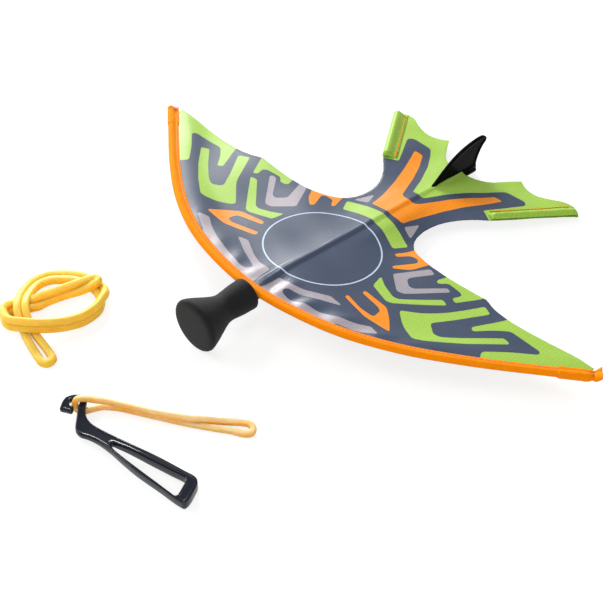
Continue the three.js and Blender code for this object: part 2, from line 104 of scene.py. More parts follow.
def wobble(*place):
    """Smooth noise, about -1 to 1, at three numbers."""
    return noise.noise(Vector(place))


WING_UP = (on_wing(0, 0, 1) - on_wing(0, 0, 0)).normalized()


# ---------------------------------------------------------------- curves
def evenly(points, step, closed=False):
    """The same line with points about step apart."""
    p = np.array(points, float)
    if closed:
        p = np.vstack([p, p[:1]])
    run = np.concatenate([[0], np.cumsum(np.linalg.norm(np.diff(p, axis=0), axis=1))])
    count = max(2, int(round(run[-1] / step)))
    at = np.linspace(0, run[-1], count + 1)[:count + (not closed)]
    return np.column_stack([np.interp(at, run, p[:, k]) for k in range(p.shape[1])])


def smooth(points, step, closed=False, fine=24):
    """A centripetal Catmull-Rom curve through points, with points about step apart."""
    p = np.array(points, float)
    if closed:
        p = np.vstack([p[-1], p, p[0], p[1]])
    else:
        p = np.vstack([2 * p[0] - p[1], p, 2 * p[-1] - p[-2]])
    line = []
    for a, b, c, d in zip(p, p[1:], p[2:], p[3:]):
        k0, k1, k2 = (max(np.linalg.norm(v), 1e-6) ** 0.5 for v in (b - a, c - b, d - c))
        m1 = ((b - a) / k0 - (c - a) / (k0 + k1) + (c - b) / k1) * k1
        m2 = ((c - b) / k1 - (d - b) / (k1 + k2) + (d - c) / k2) * k1
        for t in np.arange(fine) / fine:
            line.append((2 * t**3 - 3 * t**2 + 1) * b + (t**3 - 2 * t**2 + t) * m1
                        + (3 * t**2 - 2 * t**3) * c + (t**3 - t**2) * m2)
    if not closed:
        line.append(p[-2])
    return evenly(line, step, closed)


def rounded(corners, radius=1.6):
    """A closed outline with its corners rounded; a corner's third number is its own radius."""
    line = []
    for i, here in enumerate(corners):
        r = here[2] if len(here) > 2 else radius
        p, a, b = (np.array(c[:2], float) for c in
                   (here, corners[i - 1], corners[(i + 1) % len(corners)]))
        to_a, to_b = a - p, b - p
        la, lb = np.linalg.norm(to_a), np.linalg.norm(to_b)
        half = math.acos(np.clip(to_a @ to_b / (la * lb), -1, 1)) / 2
        reach = min(r / max(math.tan(half), 1e-6), 0.48 * la, 0.48 * lb)
        start, end = p + to_a / la * reach, p + to_b / lb * reach
        for t in np.linspace(0, 1, 7):
            line.append((1 - t)**2 * start + 2 * t * (1 - t) * p + t * t * end)
    return np.array(line)


def circle(radius, count):
    angles = [2 * math.pi * j / count for j in range(count)]
    return [(radius * math.cos(a), radius * math.sin(a)) for a in angles]


def mirror(points):
    return [(-q[0], *q[1:]) for q in points]


def anticlockwise(loop):
    loop = np.array(loop, float)
    x, y = loop.T
    return loop if x @ np.roll(y, -1) > y @ np.roll(x, -1) else loop[::-1]


def inside(points, polygon):
    """Which points lie inside a closed polygon."""
    x, y = np.array(points, float).T
    found = np.zeros(len(x), bool)
    for (x0, y0), (x1, y1) in zip(polygon, np.roll(polygon, -1, axis=0)):
        if y0 == y1:
            continue
        found ^= ((y0 > y) != (y1 > y)) & (x < (x1 - x0) * (y - y0) / (y1 - y0) + x0)
    return found


def clearance(points, others):
    """How far each point is from the nearest of the others."""
    points, others = np.array(points, float), np.array(others, float)
    best = np.full(len(points), 1e9)
    for k in range(0, len(others), 400):
        d = np.linalg.norm(points[:, None] - others[None, k:k + 400], axis=2)
        best = np.minimum(best, d.min(1))
    return best


# ---------------------------------------------------------------- meshes
def add_mesh(name, verts, faces, materials, body, face_materials=None):
    """A smooth-shaded piece that rides on body; verts are places in the frame."""
    data = bpy.data.meshes.new(name)
    data.from_pydata([tuple(v) for v in verts], [], [tuple(f) for f in faces])
    for m in materials:
        data.materials.append(m)
    if face_materials is not None:
        data.polygons.foreach_set("material_index", face_materials)
    data.polygons.foreach_set("use_smooth", [True] * len(data.polygons))
    data.update()
    piece = bpy.data.objects.new(name, data)
    bpy.context.scene.collection.objects.link(piece)
    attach(piece, body)
    return piece


class Builder:
    """Collects several closed shapes into one mesh."""

    def __init__(self):
        self.verts, self.faces = [], []

    def add(self, verts, faces):
        base = len(self.verts)
        self.verts += [tuple(v) for v in verts]
        self.faces += [tuple(i + base for i in f) for f in faces]

    def piece(self, name, materials, body, slot):
        return add_mesh(name, self.verts, self.faces, materials, body)


def skin(rings, closed=False, capped=True):
    """Faces between equal rings of points, joined end to end or capped."""
    n, count = len(rings[0]), len(rings)
    verts = [p for r in rings for p in r]
    faces = []
    for i in range(count if closed else count - 1):
        a, b = i * n, (i + 1) % count * n
        faces += [(a + j, a + (j + 1) % n, b + (j + 1) % n, b + j) for j in range(n)]
    if capped and not closed:
        faces.append(tuple(range(n))[::-1])
        faces.append(tuple((count - 1) * n + j for j in range(n)))
    return verts, faces


def strip(rows, flip=False):
    """An open sheet through equal rows of points; flip turns its faces over."""
    n = len(rows[0])
    corners = (0, n, n + 1, 1) if flip else (0, 1, n + 1, n)
    starts = [k * n + j for k in range(len(rows) - 1) for j in range(n - 1)]
    return [v for row in rows for v in row], [tuple(a + c for c in corners) for a in starts]


def thicken(piece):
    """Gives a sheet of cloth its thickness, half to each side."""
    solid = piece.modifiers.new("thickness", "SOLIDIFY")
    solid.thickness, solid.offset = CLOTH * MM, 0.0
    return solid


def triangulate(loops, extra):
    """Triangles inside closed loops, with extra points among them: the lists that
    delaunay_2d_cdt gives."""
    points, faces = [], []
    for loop in loops:
        faces.append(list(range(len(points), len(points) + len(loop))))
        points += [Vector(p) for p in loop]
    points += [Vector(p) for p in extra]
    return delaunay_2d_cdt(points, [], faces, 1, 1e-5, True)


def frames_along(line, closed=False, lift=Vector((0, 0, 1))):
    """(place, sideways, upwards) at each point of a line, carried along without twist."""
    line = [Vector(p) for p in line]
    count = len(line)
    ahead = [((line[(i + 1) % count] - line[i - 1]) if closed else
              (line[min(i + 1, count - 1)] - line[max(i - 1, 0)])).normalized()
             for i in range(count)]
    side = lift.cross(ahead[0])
    if side.length < 0.1:
        side = Vector((1, 0, 0)).cross(ahead[0])
    sides = []
    for t in ahead:
        side = (side - side.dot(t) * t).normalized()
        sides.append(side.copy())
    slip = 0.0
    if closed:
        last = (sides[-1] - sides[-1].dot(ahead[0]) * ahead[0]).normalized()
        slip = math.atan2(last.cross(sides[0]).dot(ahead[0]), last.dot(sides[0]))
    frames = []
    for i, (p, t, s) in enumerate(zip(line, ahead, sides)):
        turn = slip * i / count
        up = t.cross(s)
        s, up = s * math.cos(turn) + up * math.sin(turn), up * math.cos(turn) - s * math.sin(turn)
        frames.append((p, s, up))
    return frames


def tube(line, radius, sides=12, closed=False, square=2.0):
    """A tube round a line; square above 2 flattens its four sides. radius may vary by index."""
    rings = []
    for i, (p, s, up) in enumerate(frames_along(line, closed)):
        r = radius(i) if callable(radius) else radius
        ring = []
        for j in range(sides):
            a = 2 * math.pi * j / sides
            c, d = math.cos(a), math.sin(a)
            k = r / (abs(c)**square + abs(d)**square)**(1 / square)
            ring.append(p + s * (c * k) + up * (d * k))
        rings.append(ring)
    return skin(rings, closed)


def stitches(builder, line, lift, length, pitch, thread):
    """A row of stitches along line, each a short bowed tube that dips into the cloth."""
    points = [Vector(p) for p in line]
    run = [0.0]
    for a, b in zip(points, points[1:]):
        run.append(run[-1] + (b - a).length)

    def at(s):
        i = min(max(int(np.searchsorted(run, s)) - 1, 0), len(points) - 2)
        f = (s - run[i]) / max(run[i + 1] - run[i], 1e-9)
        return points[i].lerp(points[i + 1], f)

    count = int(run[-1] / (pitch * MM))
    for k in range(count):
        start = k * pitch * MM
        bow = []
        for f in (0, 0.12, 0.5, 0.88, 1):
            bow.append(at(start + f * length * MM) + lift * (math.sin(math.pi * f) ** 0.5
                                                              * 1.5 - 0.6) * thread * MM)
        builder.add(*tube(bow, thread * MM, 6))


# ---------------------------------------------------------------- materials
def srgb(r, g, b):
    return tuple((c / 255 / 12.92 if c <= 10 else ((c / 255 + 0.055) / 1.055)**2.4)
                 for c in (r, g, b)) + (1.0,)


def add_node(tree, kind, inputs=None, **settings):
    """A new node; each input is a value or a socket to link."""
    made = tree.nodes.new(kind)
    for key, value in settings.items():
        setattr(made, key, value)
    for key, value in (inputs or {}).items():
        if isinstance(value, bpy.types.NodeSocket):
            tree.links.new(value, made.inputs[key])
        else:
            made.inputs[key].default_value = value
    return made


class Shader:
    """A Principled material and short ways to add nodes to it."""

    def __init__(self, name, roughness, **sockets):
        self.material = bpy.data.materials.new(name)
        self.material.use_nodes = True
        self.tree = self.material.node_tree
        self.bsdf = self.tree.nodes["Principled BSDF"]
        self.bsdf.inputs["Roughness"].default_value = roughness
        for key, value in sockets.items():
            self.bsdf.inputs[key.replace("_", " ")].default_value = value
        self.place = self.node("ShaderNodeTexCoord").outputs["Object"]

    def node(self, kind, inputs=None, **settings):
        return add_node(self.tree, kind, inputs, **settings)

    def noise(self, scale, detail=3.0, rough=0.5, place=None):
        return self.node("ShaderNodeTexNoise", {
            "Vector": place or self.place, "Scale": scale, "Detail": detail,
            "Roughness": rough}).outputs["Fac"]

    def threads(self, pitch, direction, place=None):
        """Parallel threads pitch millimetres apart."""
        return self.node("ShaderNodeTexWave", {
            "Vector": place or self.place, "Scale": 0.314 / (pitch * MM), "Distortion": 0.0,
            "Detail": 0.0}, bands_direction=direction).outputs["Fac"]

    def turned(self, angle):
        return self.node("ShaderNodeVectorRotate", {"Vector": self.place, "Angle": angle},
                         rotation_type="Z_AXIS").outputs["Vector"]

    def maths(self, operation, a, b=0.0):
        return self.node("ShaderNodeMath", {0: a, 1: b}, operation=operation).outputs[0]

    def total(self, first, *others):
        for other in others:
            first = self.maths("ADD", first, other)
        return first

    def spread(self, value, low, high):
        """value from 0 to 1, to low to high."""
        return self.node("ShaderNodeMapRange", {
            "Value": value, "To Min": low, "To Max": high}).outputs["Result"]

    def fade(self, value, start, end, low=0.0, high=1.0):
        """Low to high, softly, as value goes from start to end."""
        return self.node("ShaderNodeMapRange", {
            "Value": value, "From Min": start, "From Max": end, "To Min": low,
            "To Max": high}, interpolation_type="SMOOTHSTEP").outputs["Result"]

    def mix(self, factor, a, b):
        made = self.node("ShaderNodeMix", data_type="RGBA")
        for key, value in (("Factor", factor), ("A", a), ("B", b)):
            at = next(s for s in made.inputs if s.name == key and s.enabled)
            if isinstance(value, bpy.types.NodeSocket):
                self.tree.links.new(value, at)
            else:
                at.default_value = value
        return next(s for s in made.outputs if s.enabled)

    def colour(self, value):
        self.tree.links.new(value, self.bsdf.inputs["Base Color"])

    def rough(self, value):
        self.tree.links.new(value, self.bsdf.inputs["Roughness"])

    def bump(self, height, millimetres, strength=1.0):
        """height from 0 to 1 stands for that many millimetres of relief."""
        last = self.bsdf.inputs["Normal"]
        inputs = {"Height": height, "Distance": millimetres * MM, "Strength": strength}
        if last.is_linked:
            inputs["Normal"] = last.links[0].from_socket
        self.tree.links.new(self.node("ShaderNodeBump", inputs).outputs["Normal"], last)


def scaled(colour, factor):
    return tuple(min(1.0, c * factor) for c in colour[:3]) + (1.0,)


def cloth_material(name, colour, sheen=0.05, gloss=0.33):
    """Light coated polyester: fine diagonal twill, faint slubs, soft satin gloss."""
    s = Shader(name, 0.40, Sheen_Weight=sheen, Sheen_Roughness=0.45, Specular_IOR_Level=gloss)
    twill = s.threads(0.85, "X", s.turned(0.98))
    weave = s.maths("MULTIPLY", s.threads(0.45, "X", s.turned(0.06)),
                    s.threads(0.45, "Y", s.turned(0.06)))
    slubs = s.noise(520, 2.0)
    cloud = s.noise(14, 4.0)
    ribs = s.threads(2.9, "X", s.turned(-0.08))
    shade = s.total(s.spread(cloud, -0.07, 0.07), s.spread(slubs, -0.12, 0.12),
                    s.spread(twill, -0.17, 0.17),
                    s.spread(s.maths("MULTIPLY", ribs, slubs), -0.07, 0.12), 0.75)
    s.colour(s.mix(shade, scaled(colour, 0.55), scaled(colour, 1.15)))
    s.rough(s.spread(cloud, 0.27, 0.36))
    s.bump(twill, 0.07, 0.7)
    s.bump(ribs, 0.05, 0.5)
    s.bump(weave, 0.03, 0.4)
    s.bump(slubs, 0.03, 0.4)
    return s.material


def tape_material(name, colour, dark, pale, pitch=0.55):
    """Woven edging tape: fine ribs, a painted highlight on the inner flank of the crown, painted
    shade along the sewn groove.
    """
    s = Shader(name, 0.7, Sheen_Weight=0.02, Sheen_Roughness=0.4, Specular_IOR_Level=0.04)
    along = s.node("ShaderNodeUVMap", uv_map="along").outputs["UV"]
    across = s.node("ShaderNodeSeparateXYZ", {"Vector": along}).outputs["Y"]
    weave = s.maths("MULTIPLY", s.threads(pitch, "X", along),
                    s.threads(pitch * 0.8, "Y", along))
    cloud, grain = s.noise(60, 3.0), s.noise(480, 3.0, 0.6)

    def band(middle, half_width):
        off = s.maths("ABSOLUTE", s.maths("SUBTRACT", across, middle * MM))
        return s.fade(off, 0.0, half_width * MM, 1.0, 0.0)

    shade = s.total(s.spread(weave, 0.35, 0.85), s.spread(cloud, -0.2, 0.2),
                    s.spread(grain, -0.3, 0.3))
    # painted shade: the tape is darkened along the sewn groove
    shade = s.maths("SUBTRACT", shade, s.maths("MULTIPLY", band(2.9, 1.5), 0.4))
    base = s.mix(shade, dark, colour)
    # painted highlight: a pale band on the inner flank of the crown, broken up by the grain
    s.colour(s.mix(s.maths("MULTIPLY", band(5.4, 1.6), s.spread(grain, 0.1, 0.7)), base, pale))
    s.bump(weave, 0.12, 0.6)
    s.bump(grain, 0.10, 0.5)
    return s.material


def thread_material(name, colour):
    s = Shader(name, 0.6, Sheen_Weight=0.05, Sheen_Roughness=0.5, Specular_IOR_Level=0.15)
    twist = s.node("ShaderNodeTexWave", {"Vector": s.place, "Scale": 900.0, "Distortion": 1.5},
                   bands_direction="DIAGONAL").outputs["Fac"]
    s.colour(s.mix(s.spread(twist, 0.3, 1.0), scaled(colour, 0.6), colour))
    s.bump(twist, 0.05, 0.5)
    return s.material


def foam_material():
    """Closed-cell foam rubber: matt, with fine open cells and a faint bloom."""
    s = Shader("foam", 0.82, Sheen_Weight=0.05, Sheen_Roughness=0.6, Specular_IOR_Level=0.25)
    cells = s.node("ShaderNodeTexVoronoi", {"Vector": s.place, "Scale": 1300.0})
    grain = s.noise(900, 4.0)
    cloud = s.noise(45, 4.0)
    shade = s.total(s.spread(cloud, 0.0, 0.6), s.spread(grain, -0.5, 0.7))
    s.colour(s.mix(shade, srgb(15, 15, 16), srgb(30, 30, 31)))
    s.rough(s.spread(cloud, 0.72, 0.9))
    s.bump(cells.outputs["Distance"], 0.10, 0.6)
    s.bump(grain, 0.30, 0.9)
    s.bump(cloud, 0.6, 0.4)
    return s.material


def plastic_material(name, colour, pale, low, high, gloss=0.35):
    """Injection-moulded plastic: smooth, with faint flow marks and handling scuffs."""
    s = Shader(name, low, Specular_IOR_Level=gloss)
    flow = s.noise(55, 3.0)
    scuff = s.noise(700, 5.0, 0.7)
    s.colour(s.mix(s.spread(flow, 0.0, 1.0), colour, pale))
    s.rough(s.spread(s.maths("MULTIPLY", flow, scuff), low, high))
    s.bump(flow, 0.12, 0.35)
    s.bump(scuff, 0.015, 0.4)
    return s.material


def rod_material():
    """Pultruded glass-fibre rod: fibres along it show as fine streaks."""
    s = Shader("fibre_rod", 0.38, Coat_Weight=0.2, Coat_Roughness=0.25)
    stretched = s.node("ShaderNodeVectorMath", {0: s.place, 1: (1.0, 0.03, 1.0)},
                       operation="MULTIPLY").outputs["Vector"]
    streaks = s.noise(2600, 3.0, 0.6, stretched)
    s.colour(s.mix(streaks, srgb(22, 22, 23), srgb(58, 58, 56)))
    s.bump(streaks, 0.03, 0.5)
    return s.material


def latex_material(name, deep, pale):
    """Amber latex: light goes a little way in, a pale powder lies on it, and upward faces get a
    painted highlight.
    """
    s = Shader(name, 0.46, Subsurface_Weight=0.6, Subsurface_Scale=0.006, IOR=1.5,
               Subsurface_Radius=(1.0, 0.55, 0.2), Specular_IOR_Level=0.25)
    powder = s.noise(110, 5.0, 0.62)
    grain = s.noise(1500, 3.0, 0.6)
    # painted highlight: faces that point up are painted paler, as lit tops
    upwards = s.node("ShaderNodeSeparateXYZ", {
        "Vector": s.node("ShaderNodeNewGeometry").outputs["Normal"]}).outputs["Z"]
    painted_top_light = s.fade(upwards, 0.1, 1.0)
    shade = s.total(s.spread(powder, -0.5, 0.7), s.spread(grain, -0.12, 0.12),
                    s.maths("MULTIPLY", painted_top_light, 0.55))
    s.colour(s.mix(shade, deep, pale))
    s.rough(s.spread(powder, 0.34, 0.52))
    s.bump(grain, 0.05, 0.5)
    s.bump(powder, 0.25, 0.5)
    return s.material


NAVY = srgb(61, 73, 95)
GREEN = srgb(160, 199, 78)
GREY = srgb(162, 154, 161)
ORANGE = srgb(252, 140, 6)
PALE_BLUE = srgb(190, 205, 228)
TAPE = srgb(255, 158, 10)
# TAPE_DARK is the weave's dark threads and also the painted shade in the sewn groove
TAPE_DARK = srgb(250, 122, 2)
# the pale tape colour is a painted highlight
TAPE_PAINTED_HIGHLIGHT = srgb(255, 186, 44)


def faded(colour):
    """The print as it shows through on the unprinted side."""
    share, white = 0.42, 0.62
    return tuple(c * (1 - share) + white * share for c in colour[:3]) + (1.0,)


PRINT = [("navy", NAVY), ("green", GREEN), ("grey", GREY), ("orange", ORANGE),
         ("ring", PALE_BLUE)]
cloth_faces = [cloth_material("cloth_" + n, c) for n, c in PRINT]
cloth_backs = [cloth_material("cloth_back_" + n, faded(c)) for n, c in PRINT]
cloth_cuts = [cloth_material("cloth_cut_" + n, scaled(c, 0.8), 0.0, 0.03) for n, c in PRINT]
hem_green = cloth_material("hem_green", srgb(156, 196, 72), 0.05, 0.12)
channel_cloth = cloth_material("channel_cloth", srgb(52, 56, 64))
tape = tape_material("edge_tape", TAPE, TAPE_DARK, TAPE_PAINTED_HIGHLIGHT)
thread_orange = thread_material("thread_orange", srgb(250, 132, 22))
thread_pale = thread_material("thread_pale", srgb(255, 204, 128))
thread_white = thread_material("thread_white", srgb(238, 226, 206))
foam = foam_material()
fin_plastic = plastic_material("fin_plastic", srgb(5, 5, 6), srgb(9, 9, 10), 0.24, 0.40, 0.03)
handle_plastic = plastic_material("handle_plastic", srgb(13, 17, 29), srgb(21, 26, 40), 0.13,
                                  0.25, 0.42)
black_plastic = plastic_material("black_plastic", srgb(20, 20, 22), srgb(32, 32, 34), 0.32, 0.5)
fibre = rod_material()
# the pale colour is the powder and also the painted highlight on upward faces
latex_sling = latex_material("latex_sling", srgb(248, 180, 66), srgb(255, 226, 178))
latex_spare = latex_material("latex_spare", srgb(255, 196, 46), srgb(255, 218, 104))


# ---------------------------------------------------------------- camera, lights, floor
def camera():
    data = bpy.data.cameras.new("camera")
    data.sensor_width, data.lens = 36.0, 83.9
    data.clip_start, data.clip_end = 0.01, 50.0
    eye = bpy.data.objects.new("camera", data)
    bpy.context.scene.collection.objects.link(eye)
    eye.location = Vector((593.05, -549.70, 708.16)) * MM
    heading, tilt, roll = (math.radians(a) for a in (46.835, 47.884, -0.782))
    eye.rotation_mode = "QUATERNION"
    eye.rotation_quaternion = (Matrix.Rotation(heading, 3, "Z") @ Matrix.Rotation(tilt, 3, "X")
                               @ Matrix.Rotation(roll, 3, "Z")).to_quaternion()
    bpy.context.scene.camera = eye


def softbox(name, towards, distance, size, power):
    light = bpy.data.lights.new(name, "AREA")
    light.shape, light.size, light.size_y = "RECTANGLE", size[0], size[1]
    light.energy = power
    lamp = bpy.data.objects.new(name, light)
    bpy.context.scene.collection.objects.link(lamp)
    direction = Vector(towards).normalized()
    lamp.location = direction * distance
    lamp.rotation_mode = "QUATERNION"
    lamp.rotation_quaternion = direction.to_track_quat("Z", "Y")


def studio():
    world = bpy.data.worlds.new("studio")
    bpy.context.scene.world = world
    world.use_nodes = True
    tree = world.node_tree
    background = tree.nodes["Background"]
    background.inputs["Color"].default_value = (1, 1, 1, 1)
    seen = add_node(tree, "ShaderNodeLightPath").outputs["Is Camera Ray"]
    strength = add_node(tree, "ShaderNodeMapRange", {"Value": seen, "To Min": 0.32, "To Max": 1.0})
    tree.links.new(strength.outputs["Result"], background.inputs["Strength"])
    softbox("key", (-0.86, 0.48, 0.43), 2.6, (0.85, 0.80), 74)
    softbox("top", (-0.10, 0.10, 1.0), 2.4, (1.6, 1.6), 10)
    softbox("rim", (-1.0, -0.22, 0.30), 2.6, (1.3, 0.5), 12)
    softbox("front", (0.75, -0.65, 0.60), 3.0, (1.5, 1.5), 26)
    softbox("strip", (-0.66, -0.42, 0.64), 2.6, (1.5, 0.30), 18)

    floor_mesh = bpy.data.meshes.new("floor")
    half = 12.0
    floor_mesh.from_pydata([(-half, -half, 0), (half, -half, 0), (half, half, 0),
                            (-half, half, 0)], [], [(0, 1, 2, 3)])
    floor = bpy.data.objects.new("floor", floor_mesh)
    floor.location.z = -0.0001
    bpy.context.scene.collection.objects.link(floor)
    s = Shader("floor", 0.9, Base_Color=(0.93, 0.935, 0.93, 1), Specular_IOR_Level=0.1)
    glow = s.node("ShaderNodeEmission", {"Color": (0.985, 0.99, 0.985, 1), "Strength": 1.17})
    rays = s.node("ShaderNodeLightPath").outputs
    share = s.maths("MULTIPLY", s.maths("MAXIMUM", rays["Is Camera Ray"], rays["Is Glossy Ray"]),
                    0.66)
    mixed = s.node("ShaderNodeMixShader", {0: share, 1: s.bsdf.outputs[0], 2: glow.outputs[0]})
    s.tree.links.new(mixed.outputs[0], s.tree.nodes["Material Output"].inputs["Surface"])
    floor_mesh.materials.append(s.material)


camera()
studio()
bpy.context.scene.view_settings.view_transform = "Standard"

# ---------------------------------------------------------------- rubber bands
LOW = BAND_D / 2 + 0.1  # the sling band's centre where it lies on the floor
# Once round the sling band's centre line: x, y, z.
BAND_PATH = [(89.6, -199.2, LOW), (91.4, -203.2, LOW), (88.4, -206.6, LOW), (80, -211.2, LOW),
             (71.4, -217, LOW), (53.3, -228.6, LOW), (29, -242.2, LOW), (9.2, -253.2, LOW),
             (1.4, -260.2, LOW), (-2, -267, LOW), (-4.4, -271.6, LOW), (-8.2, -273.9, 3.3),
             (-9.7, -273.9, 7), (-8.8, -272.2, 11), (-5.4, -268.8, 12), (-0.4, -264.2, 11),
             (5.6, -257.6, 8.8), (16.3, -250.4, 7.5), (30.5, -242.6, 7.3), (44.5, -234.2, 7.3),
             (55, -226.8, 6.9), (62, -219, 5.2), (67.6, -212.6, 3.2), (73, -206.8, LOW),
             (79, -201.4, LOW), (84.6, -198, LOW)]
# Middle of the folded spare band: x, y, z, width between its two strands, and the strands'
# turn about the line, in degrees (0 is side by side on the floor, 90 is one over the other).
SPARE_PATH = [(-63, -259.6, 2.9, 8.6, 0), (-75.2, -257, 2.9, 8.4, 0), (-92.4, -253, 2.9, 6.6, 0),
              (-102, -249.8, 4.6, 6, 0), (-111, -246.4, 8, 6, 0), (-118, -241.6, 8.8, 6, 0),
              (-128.7, -231, 5, 6, 0), (-135.4, -217.5, 3, 6, 0), (-133.6, -206.4, 3, 6, 0),
              (-127.4, -198.4, 3, 6, 0), (-119.6, -191.6, 3, 6, 0), (-110, -187.6, 3, 6, 0),
              (-100, -186.6, 3, 6, 0), (-90, -189, 4.6, 6, 30), (-82, -195.4, 5.9, 6, 75),
              (-76.8, -204.6, 6.2, 6, 90), (-75.6, -217.5, 6.6, 6, 90),
              (-78.6, -231.4, 8.4, 6, 90), (-85.8, -245.6, 11, 6, 90),
              (-94.4, -254.4, 12, 6, 90), (-106, -260.6, 10.6, 6, 90),
              (-117.6, -257.6, 7.4, 6, 90), (-123.2, -250, 5.4, 6, 50),
              (-121.6, -241.4, 3.9, 6, 10), (-116.6, -233, 4.3, 6, 20),
              (-113.4, -222.6, 5.8, 6, 70), (-109.4, -210, 6.4, 6, 80),
              (-103.6, -198.6, 8.2, 6, 40), (-100.4, -187.4, 9.2, 6, 0)]


def rubber(name, line, diameter, material, body, node, share=0.5):
    """An endless band: a closed tube on the CAD cord's own route."""
    points = [on_floor(*p) for p in line]
    verts, faces = tube(points, diameter * share * MM, 20, closed=True, square=3.4)
    verts = [Vector((v.x, v.y, max(v.z, 0.1 * MM))) for v in verts]  # pressed flat on the floor
    band = add_mesh(name, verts, faces, [material], body)
    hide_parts(node)
    ring = points + points[:1]
    length = sum((b - a).length for a, b in zip(ring, ring[1:]))


def spare_line():
    """The band folded in two and thrown in an open knot: out along one strand, back the other."""
    rows = smooth(SPARE_PATH, 2.0)
    spine = rows[:, :3]
    ahead = np.gradient(spine, axis=0)
    ahead /= np.linalg.norm(ahead, axis=1)[:, None]
    flat = np.column_stack([-ahead[:, 1], ahead[:, 0], np.zeros(len(spine))])
    flat /= np.linalg.norm(flat, axis=1)[:, None]
    lift = np.cross(ahead, flat)
    turn = np.radians(rows[:, 4])[:, None]
    half = rows[:, 3][:, None] / 2 * (flat * np.cos(turn) + lift * np.sin(turn))

    def round_end(i, sign, side):
        across = half[i] * side
        beyond = ahead[i] * sign * np.linalg.norm(across)
        return [spine[i] + across * math.cos(math.pi * f) + beyond * math.sin(math.pi * f)
                for f in (0.2, 0.4, 0.6, 0.8)]

    line = [*(spine + half), *round_end(-1, 1, 1), *(spine - half)[::-1], *round_end(0, -1, -1)]
    return smooth(line[::2], 1.2, closed=True)


rubber("launcher_band_latex", smooth(BAND_PATH, 1.2, closed=True), BAND_D, latex_sling,
       "launcher", "launcher_band")
rubber("spare_band_latex", spare_line(), SPARE_D, latex_spare, "spare", "spare_band", 0.55)

# ---------------------------------------------------------------- cloth wing
bow_line = smooth(mirror(BOW[1:])[::-1] + BOW, 1.2)
BOW_MID = len(bow_line) // 2


def bow_side(line):
    """Unit vectors across the bow, towards the trailing edge."""
    ahead = np.gradient(line, axis=0)
    ahead /= np.linalg.norm(ahead, axis=1)[:, None]
    return np.column_stack([-ahead[:, 1], ahead[:, 0]])


FOLDS = [  # short folds that run back from the front edge: x, lean, height, width, length
    (-12, 0.10, 0.55, 5.0, 24), (9.5, -0.05, -0.9, 4.2, 26), (17, 0.05, 0.9, 4.6, 27),
    (27, 0.22, -0.7, 4.8, 22), (37, 0.30, 0.8, 5.2, 25), (49, 0.34, -0.6, 5.6, 20),
    (62, 0.45, 0.75, 5.5, 24), (77, 0.55, -0.5, 6.0, 20), (92, 0.66, 0.6, 6.0, 22),
    (112, 0.75, 0.45, 7.0, 24), (-30, -0.25, 0.4, 6.0, 22), (-52, -0.4, 0.35, 7.0, 20),
    (-84, -0.6, 0.35, 8.0, 22), (136, 0.85, -0.4, 8.0, 22)]


def cloth_height(x, y):
    """Height of the cloth above the wing's plane."""
    x, y = np.asarray(x, float), np.asarray(y, float)
    a = np.abs(x)
    back = y - read_off(a, BOW)  # how far behind the front edge
    free = smoothstep(4, 30, back)
    rod = smoothstep(3, 12, back)
    ridge = np.where(x < 0, np.exp(-a / 16), 1 - smoothstep(0.4, 4.8, x))
    z = 1.15 * ridge * rod  # the cloth drops off the keel rod on its near side
    z += 0.25 * bell((x + 2.4) / 0.8) * rod * (1 - smoothstep(20, 62, back))
    z += 2.6 * np.exp(-a / 42) * smoothstep(6, 34, back) - 1.3 * smoothstep(6, 34, back)
    dip = np.where(x > 0, -5.4, -1.3)
    z += dip * bell((a - 37) / 19) * bell((y - 24) / 34) * smoothstep(9, 20, a)
    z += -1.6 * bell((a - 95) / 60) * bell((y + 45) / 40) * free
    tip = smoothstep(110, 215, a)
    z += np.where(x > 0, 1.3 * tip * smoothstep(6, 22, back),
                  0.75 * smoothstep(70, 130, a) * smoothstep(3, 26, back)
                  - 1.8 * tip * smoothstep(14, 44, back))
    # slack tail lobes between the keel and the hems
    tail = smoothstep(52, 92, y)
    z += tail * (-1.5 * bell((a - 32) / 16) * bell((y - 105) / 26)
                 + 0.9 * np.sin((a + 0.35 * y) / 9.0) * smoothstep(118, 140, y)
                 * smoothstep(8, 24, a))
    for fx, lean, height, width, length in FOLDS:
        v = y - read_off(abs(fx), BOW)
        u = x - fx - lean * v
        fading = 1 - smoothstep(length * 0.35, length * 1.3, v)
        z += 1.7 * height * bell(u / width) * smoothstep(3, 9, v) * fading
    # broad, faint creases from folding, fading at the sewn edges
    z += 0.16 * np.sin(x / 11.0 + 0.6 * np.sin(y / 17.0)) * free
    z += 0.10 * np.sin(y / 6.5 + x / 23.0) * free
    return z


def hem_axis():
    a, b = np.array(HEM_START), np.array(HEM_END)
    ahead = (b - a) / np.linalg.norm(b - a)
    return a, ahead, np.array([-ahead[1], ahead[0]]), float(np.linalg.norm(b - a))


def cloth_outline():
    """The cut edge of the cloth, its front under the tape."""
    front = bow_line[BOW_MID:] + bow_side(bow_line)[BOW_MID:] * 2.0
    half = [tuple(p) for p in evenly(front, 2.5)]
    for part in (smooth(TRAILING, 1.6), smooth(WAIST, 1.6), evenly([HEM_START, HEM_END], 2.5),
                 smooth(TAIL_REAR, 1.6), smooth(TAIL_NOTCH, 1.6)):
        half += [tuple(p) for p in part if math.dist(p, half[-1]) > 0.7]
    return half + mirror(half[1:-1])[::-1]


